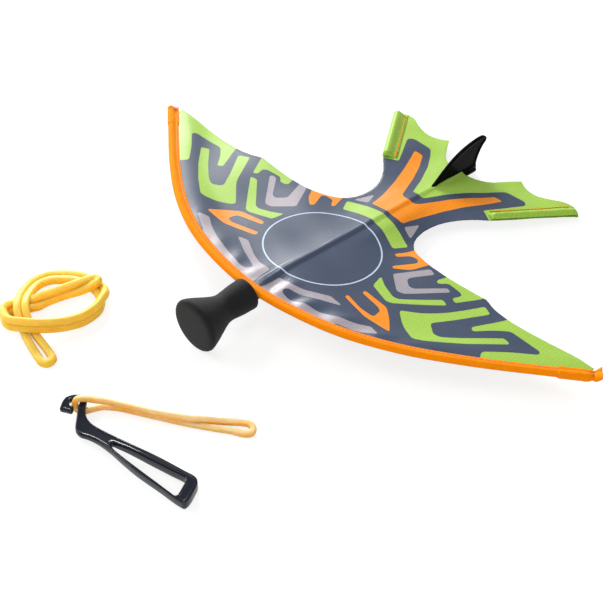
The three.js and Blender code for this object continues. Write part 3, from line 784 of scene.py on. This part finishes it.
# Corners of the printed shapes: x, y and the corner's own radius, if it has one.
CHEVRON = [(48, 107.8), (42.6, 96.6, 60), (34.2, 79, 60), (26.4, 60.5, 60), (20.4, 42, 60),
           (17.5, 30, 60), (16.6, 23.6)]
CHEVRON_IN = [(5, 48.2, 4), (8.8, 50.5, 6), (12.4, 59, 60), (19.2, 74.5, 60), (28.6, 92, 60),
              (39, 107.8)]
TAIL_V = [(5.5, 59.2, 3), (13, 77, 60), (23.6, 97, 60), (35, 113, 60), (41, 119.8, 5),
          (60.5, 120.3, 4), (64.5, 116.6, 5), (55, 101, 50), (47.5, 88.5), (46, 86), (60, 78),
          (125, 120), (125, 160)]
ARC = [(37.2, 9), (32.4, -3.6), (16, 4, 60), (0, 6.8, 60), (-14, 5.6, 60), (-27.2, 1.7),
       (-33.3, 12.8), (-18, 18, 60), (0, 19.5, 60), (20, 16, 60)]
BOTH_SIDES = [
    ("green", [(147, 12, 0), (147, -3.7, 20), (142.5, -13, 40), (134, -29.7, 3), (138, -32.5, 3),
               (147, -21, 60), (156.5, -12.6, 6), (184.5, -14.5, 4), (187, -18, 4),
               (172, -31, 60), (157.5, -45.8, 4), (161, -51.2, 3), (168, -66, 0), (245, -40, 0),
               (245, 12, 0)]),
    ("grey", [(24.7, 35.2, 0.6), (31, 18, 0.8), (19.6, 22.5, 0.8)])]
RIGHT_ONLY = [
    ("green", [(125.6, -4.4), (134, -8.3), (122, -30, 60), (111.1, -47.5, 3), (121.1, -55.3, 5),
               (127, -53.9, 6), (139, -42.2, 60), (158.5, -22), (165.8, -23.9),
               (144.4, -46.7, 60), (122.5, -67.5, 8), (115.6, -71.7, 4), (100, -65, 60),
               (87.2, -54.4), (100, -44.4, 60), (111.1, -31.1, 60), (117.8, -20, 60)]),
    ("grey", [(69.8, -2.2), (76.7, -4.5), (67, -20, 4), (66.2, -24, 3), (73, -29, 5),
              (77, -28, 4), (93.5, -9.5), (98.5, -11), (76, -38, 6), (70.5, -39.7, 4),
              (54.8, -27)]),
    ("green", [(83.5, 12, 0), (84.4, 0.1, 4), (82, -9.1), (85.6, -10.6), (90.2, -4.7, 4),
               (104.4, -6.1, 3), (106.3, -8.7), (103.3, -15.3), (108.3, -17.8),
               (117.8, -0.6, 30), (119, 2.8, 2), (120, 12, 0)]),
    ("green", [(100, -21.7), (106.4, -23.9), (77.8, -52.8), (73.3, -54.2), (55, -48.5),
               (51.3, -36.1, 0.8), (60, -41.7, 30), (73.3, -46.7, 7), (77.8, -45.6, 7)]),
    ("orange", [(55.5, -57.2), (79, -59.2, 8), (88.9, -66.7, 60), (100.6, -78.8, 1.2),
                (76, -79.3, 14), (51, -74), (50.6, -70.6), (68, -74.6, 8), (80.4, -74.4, 2),
                (78.9, -65.6, 3), (74, -63.5, 6), (55.6, -60.6)]),
    ("grey", [(5, -95.6), (17.8, -95, 14), (26.7, -92.2, 30), (44.5, -82), (57.8, -83.1, 0.8),
              (43.3, -91.1, 60), (28.9, -97.8, 30), (20, -100.6, 4), (17.4, -103.3, 3),
              (19.4, -107.3, 3), (26.7, -107.6, 10), (40, -103.9, 60), (51.1, -101.1, 30),
              (66.7, -95.6, 60), (77.8, -91.1, 60), (87.8, -84.4), (98.3, -87.8), (86, -95.5, 60),
              (70, -102, 0), (60, -118, 0), (3.5, -126, 0)]),
    ("orange", [(42, 14, 0), (43.1, 7.9, 0), (41.5, 1, 8), (37.9, -7.3), (41.5, -9.2), (47, 0, 4),
                (50.3, 0.7), (55.1, 0.4, 3), (58.3, -3.3, 4), (47.9, -20.1), (49.8, -22.5),
                (60.7, -13.7, 12), (65.5, 0.4, 4), (66, 12, 0)])]
LEFT_ONLY = [
    ("green", [(-137.8, -9.4), (-128.9, -4.7), (-120, -20, 60), (-111.1, -35.6, 60),
               (-100, -45.6, 60), (-89.1, -55.6), (-91, -59, 2), (-100, -65, 60),
               (-111.1, -68.9, 30), (-116.1, -69, 4), (-133.3, -56.7, 60), (-150, -42.2, 60),
               (-166.7, -25), (-160.5, -21.3), (-144.4, -36.7, 60), (-128.9, -49.4, 60),
               (-121.1, -53.3, 5), (-112.8, -47.8, 4), (-122.2, -32.2, 60)]),
    ("grey", [(-68.3, 12, 0), (-75.8, 12, 0), (-75.8, 3, 0), (-67.8, -19.4, 4), (-74.4, -27, 5),
              (-79, -25.5, 4), (-93, -8.5), (-97.5, -7.2), (-99.4, -9.6), (-74, -38.3, 5),
              (-68, -37.5, 5), (-54.2, -23), (-68.3, 3, 2)]),
    ("green", [(-83, 12, 0), (-122.2, 12, 0), (-122.2, 2.2), (-111.1, -17.8), (-107.8, -15),
               (-109.4, -8.3), (-106.1, -5.8, 3), (-92.2, -4.4, 4), (-87.8, -8.9), (-82.2, -8.3),
               (-80.9, -6.1), (-82.8, 0)]),
    ("green", [(-102.2, -20.9), (-108.9, -22), (-94.4, -37.8, 60), (-78.3, -54.7, 4),
               (-74.4, -55.8, 4), (-54.4, -48.9), (-53.1, -36.9, 0.8), (-61.1, -42.2, 30),
               (-72.2, -46.7, 6), (-76.7, -45.6, 6)]),
    ("orange", [(-55.6, -56.1), (-77.8, -59.4, 8), (-88.9, -68.9, 60), (-96.3, -79.5, 1.5),
                (-74.4, -81.1, 14), (-47.2, -73.6), (-46.8, -68.8), (-72.2, -75.3, 6),
                (-78.3, -73.5, 3), (-76.1, -65.6, 3), (-73, -64.4, 4), (-53, -59.8)]),
    ("grey", [(-5.8, -95.6), (-17.8, -95, 14), (-28, -91.5, 30), (-45, -82), (-54.4, -84.4, 1),
              (-35.6, -94.4, 40), (-19, -101, 4), (-17.2, -103.5, 3), (-20, -107.6, 3),
              (-26.7, -107.8, 10), (-44.4, -103.3, 60), (-62.2, -98, 60), (-76.7, -91.5, 60),
              (-86.7, -85), (-97.2, -88.3), (-91.1, -92.2, 60), (-77.8, -98.9, 0),
              (-60, -118, 0), (-3.5, -126, 0)]),
    ("orange", [(-38, 22, 0), (-39.1, 14.3, 0), (-34.3, -0.9), (-37.5, -1.2), (-41.5, 5.2, 4),
                (-50.3, 4.7, 3), (-51.9, 2.3, 3), (-46.3, -10.5), (-48.2, -14), (-57, -7, 20),
                (-62.6, 2.6, 4), (-63, 12, 0)])]
RING_CENTRE, RING_RADII, RING_WIDTH = (-1.4, -45.8), (47.5, 44.2), 1.2


def ring_edge(inset):
    """The ring's outline, inset from its outer edge."""
    (x, y), (rx, ry) = RING_CENTRE, RING_RADII
    return [(x + (rx - inset) * c, y + (ry - inset) * s) for c, s in circle(1, 90)]


def printed_regions():
    """(colour, outline) of each printed shape, in the wing's plane; later ones lie on top."""
    regions = [("green", rounded(TAIL_V + mirror(TAIL_V)[::-1])),
               ("orange", rounded(CHEVRON + mirror(CHEVRON)[::-1]
                                  + mirror(CHEVRON_IN)[::-1] + CHEVRON_IN)),
               ("green", rounded(ARC))]
    for colour, corners in BOTH_SIDES:
        regions += [(colour, rounded(corners)), (colour, rounded(mirror(corners)))]
    regions += [(colour, rounded(corners, 1.4)) for colour, corners in RIGHT_ONLY + LEFT_ONLY]
    regions += [("ring", ring_edge(0)), ("navy", ring_edge(RING_WIDTH))]
    return regions


def region_mesh(outline, regions, spacing):
    """Triangles over outline, with an edge along every region's edge: points, triangles and
    the regions that each triangle lies in (0 is the outline itself)."""
    loops = [anticlockwise(outline)]
    loops += [anticlockwise(evenly(r, 2.2, closed=True)) for _, r in regions]
    edge = np.vstack([evenly(loop, 0.9, closed=True) for loop in loops])
    low, high = loops[0].min(0), loops[0].max(0)
    row = spacing * math.sqrt(3) / 2
    grid = [(x + (j % 2) * spacing / 2, y)
            for j, y in enumerate(np.arange(low[1], high[1], row))
            for x in np.arange(low[0], high[0], spacing)]
    # closer together over the keel's ridge
    grid += [(x, y) for y in np.arange(low[1], high[1], 1.7) for x in np.arange(-3.4, 7.2, 0.85)]
    grid = np.array(grid)
    grid = grid[inside(grid, loops[0])]
    out = triangulate(loops, grid[clearance(grid, edge) > 0.75])
    kept = [(t, o) for t, o in zip(out[2], out[5]) if 0 in o]
    used = sorted({i for t, _ in kept for i in t})
    renumber = {old: new for new, old in enumerate(used)}
    return (np.array([tuple(out[0][i]) for i in used]),
            [[renumber[i] for i in t] for t, _ in kept], [o for _, o in kept])


def cloth_wing():
    outline = cloth_outline()
    rng = random.Random(7)
    frayed = []
    for x, y in outline:  # the hot-cut edge is slightly uneven behind the tape
        loose = 0.12 if y > -6 else 0.0
        frayed.append((x + rng.uniform(-loose, loose), y + rng.uniform(-loose, loose)))
    regions = printed_regions()
    points, triangles, within = region_mesh(frayed, regions, 2.5)
    names = [n for n, _ in PRINT]
    colours = []
    for owners in within:
        top = max(owners)
        colours.append(names.index(regions[top - 1][0]) if top else 0)
    z = cloth_height(points[:, 0], points[:, 1])
    verts = [on_wing(x, y, h) for (x, y), h in zip(points, z)]
    wing = add_mesh("wing_cloth_printed", verts, triangles,
                    cloth_faces + cloth_backs + cloth_cuts, "glider", colours)
    thick = thicken(wing)
    thick.material_offset = len(PRINT)
    thick.material_offset_rim = 2 * len(PRINT)
    wing.modifiers.new("normals", "WEIGHTED_NORMAL")
    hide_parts("wing_cloth")


cloth_wing()


# ---------------------------------------------------------------- edge tape
TAPE_STEP, TAPE_ROUND_STEP = 1.2, 0.55  # between the points along the tape and round it


def with_uv(piece, ring_size):
    """UV map 'along': distance along the tape and round it, in metres."""
    layer = piece.data.uv_layers.new(name="along")
    for loop in piece.data.loops:
        k, j = divmod(loop.vertex_index, ring_size)
        layer.data[loop.index].uv = (k * TAPE_STEP * MM, j * TAPE_ROUND_STEP * MM)


# Half of the tape's section, from its inner lip over the rod to the outside: [across, up].
TAPE_TOP = [(4.4, 0.3), (4.38, 0.72), (4.1, 0.95), (3.5, 1.02), (2.9, 0.92), (2.5, 0.78),
            (2.1, 0.86), (1.6, 1.12), (1.15, 1.28), (0.9, 1.42), (0.6, 1.86), (0.1, 2.32),
            (-0.6, 2.64), (-1.4, 2.75), (-2.25, 2.62), (-3.05, 2.2), (-3.7, 1.55), (-4.15, 0.8),
            (-4.3, 0.0)]


def tape_ring(place, side, k):
    """Ring of points of the tape's section; k is the index along the bow."""
    pucker = 0.10 * math.sin(k * 2.1) + 0.22 * wobble(k * 0.09, 3.1, 0)
    swell = 1 + 0.05 * wobble(k * 0.045, 0, 7.7)
    section = [(u, w * swell + (pucker if 0.9 < u < 4.3 and w > 0.5 else 0.0))
               for u, w in TAPE_TOP]
    section += [(u, -w) for u, w in section[-2::-1]]
    return [on_wing(*(place + side * u), w) for u, w in section]


def edge_tape():
    places = list(zip(bow_line, bow_side(bow_line)))
    rings = [tape_ring(p, s, k) for k, (p, s) in enumerate(places)]
    verts, faces = skin(rings)
    piece = add_mesh("leading_edge_tape", verts, faces, [tape], "glider")
    with_uv(piece, len(rings[0]))
    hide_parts("leading_edge_binding")
    rows = Builder()
    for sign in (1, -1):
        seam = [on_wing(*(p + s * 2.5), sign * 0.92) for p, s in places]
        stitches(rows, seam[4:-18], WING_UP * sign, 2.5, 3.3, 0.24)
    rows.piece("leading_edge_stitches", [thread_pale], "glider", "thread")


edge_tape()


def tip_tab(sign):
    """The tape's end: folded back over itself, barred with zigzag stitches, and flared."""
    side_name = "right" if sign > 0 else "left"
    # the left end lies flatter, shorter and closer to the tape
    opened, squeezed, reach, snug = (1, 1, 1, 1) if sign > 0 else (0.15, 0.3, 0.72, 0.45)
    line = bow_line if sign > 0 else bow_line[::-1]
    ends = bow_side(bow_line) if sign > 0 else bow_side(bow_line)[::-1]
    back = 20
    centre = [(np.array(p), np.array(s)) for p, s in zip(line[-back:], ends[-back:])]
    tip, side = centre[-1]
    ahead = np.array([-side[1], side[0]]) * -sign
    ahead = ahead if ahead @ (tip - centre[0][0]) > 0 else -ahead
    centre += [(tip + ahead * d * reach, side) for d in (0.8, 1.6, 2.4, 3.4, 4.5, 5.6, 6.6, 7.2)]
    rings, places = [], []
    count = len(centre)
    for k, (p, s) in enumerate(centre):
        lip = 0.35 + 0.65 * float(smoothstep(0, 1.3, k * TAPE_STEP))
        from_end = count - 1 - k
        pinch = squeezed * float(bell((from_end - 6.5) / 2.2))
        flare = opened * (1 - float(smoothstep(0.0, 5.0, from_end)))
        wide = (1 + snug * (0.10 + 0.12 * lip)) * (1 - 0.16 * pinch) * (1 + 0.13 * flare)
        thick = (1 + snug * 0.18 * lip) * (1 - 0.34 * pinch) * (1 - 0.20 * flare)
        rise = 2.2 * flare - 1.2 * (1 - opened) * (1 - float(smoothstep(0.0, 2.5, from_end)))
        ring = []
        for u, w in TAPE_TOP + [(u, -w) for u, w in TAPE_TOP[-2::-1]]:
            cup = 1.3 * flare * (u / 4.4)**2 * (1 if w > 0 else 0.9)
            frill = 0.25 * wobble(u * 0.5, k * 0.35, 5 + w * 0.3)
            ring.append(on_wing(*(p + s * u * wide), w * thick + rise + cup + frill))
        rings.append(ring)
        places.append((p, s, thick, rise))
    last = rings[-1]
    middle = sum(last, Vector()) / len(last)
    for pull, sink in ((0.82, 0.5), (0.5, 1.6)):  # the hollow fold in the cut end
        deep = Vector((*(ahead * -sink), 0)) * MM
        rings.append([middle + (q - middle) * pull + deep for q in last])
    verts, faces = skin(rings)
    piece = add_mesh("wing_tip_fold_" + side_name, verts, faces, [tape], "glider")
    with_uv(piece, len(last))
    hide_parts("wing_tip_tab_" + side_name)
    sewing, loose = Builder(), Builder()
    p, s, thick, rise = places[count - 8]
    for shift in (-1.3, 0.2):
        middle = p + ahead * shift
        zig = []
        for i in range(15):
            u = -3.9 + 7.8 * i / 14
            top = float(read_off(u, TAPE_TOP[::-1]))
            step = ahead * 0.75 * (-1)**i
            zig.append(on_wing(*(middle + s * u * 1.05 + step), top * thick + rise + 0.15))
        sewing.add(*tube(zig, 0.22 * MM, 6))
    rng = random.Random(3 if sign > 0 else 4)
    for j in range(4):  # thread ends that stick out
        base = on_wing(*(p + s * rng.uniform(-2, 3.5)), 2.4 * thick + rise)
        bend = Vector((rng.uniform(-1, 1), rng.uniform(-1, 1), rng.uniform(0.1, 0.5)))
        span = rng.uniform(2.0, 3.4) * MM
        drop = Vector((0, 0, -1.4)) * MM
        curve = [base + bend * span * t + drop * t * t for t in np.linspace(0, 1, 7)]
        (loose if j % 2 else sewing).add(*tube(curve, 0.17 * MM, 6))
    sewing.piece("tip_bartack_" + side_name, [thread_orange], "glider", "thread")
    loose.piece("tip_thread_ends_" + side_name, [thread_white], "glider", "thread")


tip_tab(1)
tip_tab(-1)

# ---------------------------------------------------------------- tail hems
# Section of the hem's cloth, from the fold at the outer edge inwards: [inwards, up].
HEM_SECTION = [(0.5, 0.1), (0.1, 0.5), (0.05, 1.2), (0.5, 2.1), (1.4, 3.0), (2.6, 3.5),
               (3.8, 3.5), (5.2, 3.0), (6.8, 2.15), (8.4, 1.25), (9.8, 0.68), (10.6, 0.46),
               (11.2, 0.5), (12.2, 0.62)]


def hem(sign):
    side_name = "right" if sign > 0 else "left"
    start, ahead, inwards, length = hem_axis()
    steps = 44
    profile = smooth(HEM_SECTION, 0.55)
    rows = []
    stations = [-0.9, *(-0.2 + (length + 0.6) * k / steps for k in range(steps + 1)),
                length + 1.0]
    for k, along in enumerate(stations):
        shut = 0.12 if k in (0, len(stations) - 1) else 1.0
        row = []
        wave = 0.22 * wobble(k * 0.3, 1.7 * sign, 0)
        for u, w in profile:
            p = start + ahead * along + inwards * u
            base = float(cloth_height(sign * p[0], p[1]))
            bulge = w * (1 + 0.9 * abs(wave) * float(bell((u - 4) / 4)))
            pinch = 1 - 0.6 * float(smoothstep(length - 1.7, length - 0.2, along)
                                    + 1 - smoothstep(-0.2, 1.2, along))
            row.append(on_wing(sign * p[0], p[1], base * float(smoothstep(4, 10, u))
                               + bulge * pinch * shut + 0.2))
        rows.append(row)
    verts, faces = strip(rows)
    if sign > 0:
        faces = [f[::-1] for f in faces]
    piece = add_mesh("tail_hem_fold_" + side_name, verts, faces, [hem_green], "glider")
    thicken(piece)
    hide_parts("tail_hem_" + side_name, "hem_thread_" + side_name)

    def seam_point(along, u, lift):
        p = start + ahead * along + inwards * u
        return on_wing(sign * p[0], p[1], float(cloth_height(sign * p[0], p[1])) + lift)

    sewing = Builder()
    seam = [seam_point(s, 10.9, 0.86) for s in np.linspace(7.5, length - 4.5, 40)]
    stitches(sewing, seam, WING_UP, 2.4, 2.9, 0.40)
    for shift in (-0.22, 0.22):  # sewn twice at its start
        doubled = [seam_point(s, 10.9 + shift, 0.92) for s in np.linspace(0.6, 9.5, 12)]
        stitches(sewing, doubled, WING_UP, 1.5, 1.55, 0.42)
    zig = [seam_point(length - 5.2 + (-1)**i, u, 0.72 + 0.7 * float(read_off(u, HEM_SECTION[5:])))
           for i, u in enumerate(np.linspace(3.0, 11.3, 17))]
    sewing.add(*tube(zig, 0.36 * MM, 6))
    sewing.piece("hem_stitches_" + side_name, [thread_orange], "glider", "thread")


hem(1)
hem(-1)

# ---------------------------------------------------------------- keel channel
KEEL_R, KEEL_FRONT, KEEL_REAR = 2.0, (-108, -3.9), (123.4, -2.6)


def keel_height(y):
    return float(read_off(y, [KEEL_FRONT, KEEL_REAR]))


def keel_channel():
    """A strip of cloth sewn under the ridge, looped round the rod."""
    box_low, box_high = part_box("keel_pocket")
    front = (box_low.y / MM - SHIFT) / math.cos(PITCH)
    rear = (box_high.y / MM - SHIFT) / math.cos(PITCH)
    steps, rows = 90, []
    for k in range(steps + 1):
        y = front + (rear - front) * k / steps
        z = keel_height(y)
        loop = KEEL_R + 0.45 + 0.12 * wobble(k * 0.5, 0.3, 2)
        row = []
        for x in (-8.5, -7, -5.4, -4, -3):
            row.append((x, float(cloth_height(x, y)) - 0.7 - 0.12 * math.sin(k * 0.9 + x)))
        for i in range(1, 12):
            t = math.pi * (1 + i / 12)
            row.append((loop * math.cos(t), z + loop * math.sin(t)))
        row += [(x, float(cloth_height(x, y)) - 0.7) for x in (2.6, 3.4, 4.2, 5.4, 7, 8.5)]
        rows.append([on_wing(x, y, w) for x, w in row])
    verts, faces = strip(rows, flip=True)
    piece = add_mesh("keel_channel", verts, faces, [channel_cloth], "glider")
    thicken(piece)
    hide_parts("keel_pocket")
    sewing = Builder()
    for x in (-5.2, 5.2):
        seam = [on_wing(x, y, float(cloth_height(x, y)) - 0.78)
                for y in np.linspace(front + 1, rear - 1, 70)]
        stitches(sewing, seam, -WING_UP, 2.4, 3.1, 0.22)
    sewing.piece("keel_channel_stitches", [thread_orange], "glider", "thread")


keel_channel()


# ---------------------------------------------------------------- foam nose
def nose_foam():
    """A turned foam head, plugged on the connector's stub."""
    pivot_z = (NOSE_HEIGHT - WING_HEIGHT + math.sin(PITCH) * NOSE_REAR) / math.cos(PITCH)
    root = on_wing(0, NOSE_REAR, pivot_z)
    profile = smooth(NOSE_PROFILE[:-1], 0.9)
    sides, rings = 96, []
    for r, s in profile:
        ring = []
        for x, z in circle(1, sides):
            uneven = max(r + 0.10 * wobble(x * 2.2, z * 2.2, s * 0.16) * (r > 5), 0.0)
            ring.append(root + Vector((uneven * x, -s, uneven * z)) * MM)
        rings.append(ring)
    depth = NOSE_LENGTH - 14
    rings.insert(0, [root + Vector((x, -depth, z)) * MM for x, z in circle(NOSE_BORE, sides)])
    verts, faces = skin(rings)
    piece = add_mesh("nose_foam_turned", verts, [f[::-1] for f in faces], [foam], "glider")
    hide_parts("nose_foam")


nose_foam()


# ---------------------------------------------------------------- moulded plates
def edge_distance(points, loops):
    """How far each point is from the nearest side of closed polygons."""
    best = np.full(len(points), 1e9)
    for loop in loops:
        for a, b in zip(loop, np.roll(loop, -1, axis=0)):
            t = np.clip((points - a) @ (b - a) / ((b - a) @ (b - a)), 0, 1)
            off = points - a - t[:, None] * (b - a)
            best = np.minimum(best, np.linalg.norm(off, axis=1))
    return best


def moulded_plate(outline, holes, half_height, place, step, edge):
    """A moulded plate with rounded edges. half_height(points, depth) is half its thickness at
    points that lie depth inside the edge; place(x, y, w) puts a point w above the mid-plane."""
    loops = [anticlockwise(loop) for loop in (outline, *holes)]
    rim = np.vstack(loops)
    fine = np.vstack([evenly(loop, step / 3, closed=True) for loop in loops])
    extra = []
    insets = (0.08, 0.3, 0.62, 1.0, 1.45, 1.95, 2.5, 3.1)  # rows along the edge, in edge widths
    for depth in (edge * inset for inset in insets):
        for loop in loops:
            ahead = np.roll(loop, -1, axis=0) - np.roll(loop, 1, axis=0)
            ahead /= np.linalg.norm(ahead, axis=1)[:, None]
            for sign in (1, -1):
                moved = loop + np.column_stack([-ahead[:, 1], ahead[:, 0]]) * depth * sign
                extra.append(moved[clearance(moved, fine) > depth * 0.9])
    low, high = rim.min(0), rim.max(0)
    grid = np.array([(x, y) for x in np.arange(low[0], high[0], step)
                     for y in np.arange(low[1], high[1], step)])
    extra.append(grid[clearance(grid, fine) > edge * insets[-1] + step * 0.4])
    extra = np.vstack(extra)
    keep = inside(extra, loops[0])
    for hole in loops[1:]:
        keep &= ~inside(extra, hole)
    out = triangulate(loops, extra[keep])
    flat = np.array([tuple(v) for v in out[0]])
    triangles = [t for t, o in zip(out[2], out[5]) if o == [0]]
    depth = edge_distance(flat, loops)
    depth[[bool(set(o) & set(range(len(rim)))) for o in out[3]]] = 0.0
    round_off = edge * (1 - np.sqrt(np.clip(1 - (1 - np.clip(depth / edge, 0, 1))**2, 0, 1)))
    height = half_height(flat, depth) - round_off
    n = len(flat)
    verts = [place(x, y, h) for (x, y), h in zip(flat, height)]
    verts += [place(x, y, -h) for (x, y), h in zip(flat, height)]
    sides = dict.fromkeys(pair for t in triangles for pair in zip(t, (*t[1:], t[0])))
    walls = [(b, a, a + n, b + n) for a, b in sides if (b, a) not in sides]
    faces = [tuple(t) for t in triangles] + [tuple(i + n for i in t[::-1]) for t in triangles]
    return verts, faces + walls


def fin():
    """The tail fin: a thin web with a thick rim, on a foot with a clamp round the keel rod."""
    shape = Builder()
    shape.add(*moulded_plate(
        smooth(FIN_EDGE, 0.8), [], lambda p, d: 1.6 - 0.72 * smoothstep(1.7, 2.5, d),
        lambda y, z, w: on_wing(w, y, z), 0.9, 0.7))
    half_section = [(1, 0.45), (1, 1.5), (0.75, 2.25), (0.45, 2.6)]
    section = mirror(half_section) + half_section[::-1]
    foot = [(75.5, 1.0), (78, 1.5), (84, 1.9), (100, 2.0), (113, 1.8), (128.2, 1.4)]
    shape.add(*skin([[on_wing(x * half, y, z) for x, z in section] for y, half in foot]))
    front, rear = 113.6, 128.1
    clamp = [(front, 2.5), (front + 0.5, 2.8), (rear - 0.6, 2.8), (rear, 2.5), (rear, 2.35),
             (KEEL_REAR[0] + 0.3, 2.35)]
    shape.add(*skin([[on_wing(x, y, keel_height(y) + z) for x, z in circle(r, 28)]
                     for y, r in clamp]))
    neck = ((-1.9, -2.2), (1.9, -2.2), (1.9, 2.0), (-1.9, 2.0))
    shape.add(*skin([[on_wing(x, y, z) for x, z in neck] for y in (front + 0.2, rear - 0.1)]))
    piece = shape.piece("fin_moulded", [fin_plastic], "glider", "black_plastic")
    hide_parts("fin")


fin()

FRAME_OUTER = [(-9.6, -265), (-13.4, -266.8), (-16.6, -270.4), (-17.8, -275.1), (-16.2, -279.6),
               (-13.8, -282.8), (-12, -284.8), (-8.4, -282.9), (-4.8, -280.6), (-5.6, -278.2),
               (-7.6, -276.9), (-10.3, -277.6), (-13, -276.2), (-13, -272.6), (-10.6, -270.2),
               (-8, -271), (-5.4, -274.6), (-1.6, -278), (2.6, -281.8), (7, -286),
               (11.4, -288.9), (16.4, -288.9), (20.6, -286.9), (28, -284.6), (39.4, -283.2),
               (54, -283), (68.2, -282.4), (88, -280), (105, -278.1), (109.4, -276.8),
               (109.6, -273.4), (105.8, -264.6), (102.4, -259.2), (98.4, -257.3), (88, -259.4),
               (67, -264.4), (47.6, -269.5), (30, -273.8), (18, -276.4), (12.4, -277),
               (6.4, -275.9), (1.9, -273.5), (-2.6, -269.6), (-5.6, -266.6)]
FRAME_HOLE = [(37, -278.4), (41, -276.8), (50, -274), (66, -270), (82, -265.8), (93, -262.9),
              (95.6, -263.4), (98.6, -269), (101, -275), (100.2, -277), (97, -277.4),
              (84, -278.6), (66, -280.2), (48, -281), (40.4, -280.5)]


def sling_handle():
    def thickness(x):
        return 4 + 3.5 * smoothstep(6, 74, x)

    def half_height(p, d):
        return thickness(p[:, 0]) / 2 - 0.2 * smoothstep(1.15, 2.3, d)

    def place(x, y, w):
        lift = 4.9 * max(0.0, 104 - x) / 112
        return on_floor(x, y, lift + float(thickness(x)) / 2 + w)

    verts, faces = moulded_plate(smooth(FRAME_OUTER, 0.9, closed=True),
                                 [smooth(FRAME_HOLE, 0.9, closed=True)], half_height, place,
                                 0.8, 1.15)
    piece = add_mesh("sling_handle", verts, faces, [handle_plastic], "launcher")
    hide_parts("launcher_frame")


sling_handle()


# ---------------------------------------------------------------- pieces kept from the CAD
def finish_kept(names, material, bevel):
    """Keeps a CAD piece's own shape, with softened edges and its material."""
    for name in names:
        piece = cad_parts[name]
        piece.data.materials.clear()
        piece.data.materials.append(material)
        piece.data.polygons.foreach_set("use_smooth", [True] * len(piece.data.polygons))
        weld = piece.modifiers.new("weld", "WELD")
        weld.merge_threshold = 0.00002
        soft = piece.modifiers.new("soft_edges", "BEVEL")
        soft.width, soft.segments, soft.limit_method = bevel * MM, 2, "ANGLE"
        soft.angle_limit = math.radians(35)
        soft.harden_normals = False
        piece.modifiers.new("normals", "WEIGHTED_NORMAL")


finish_kept(["nose_connector", "launch_hook"], black_plastic, 0.25)
finish_kept(["keel_rod", "leading_edge_spar", "tail_batten_left", "tail_batten_right"], fibre,
            0.15)
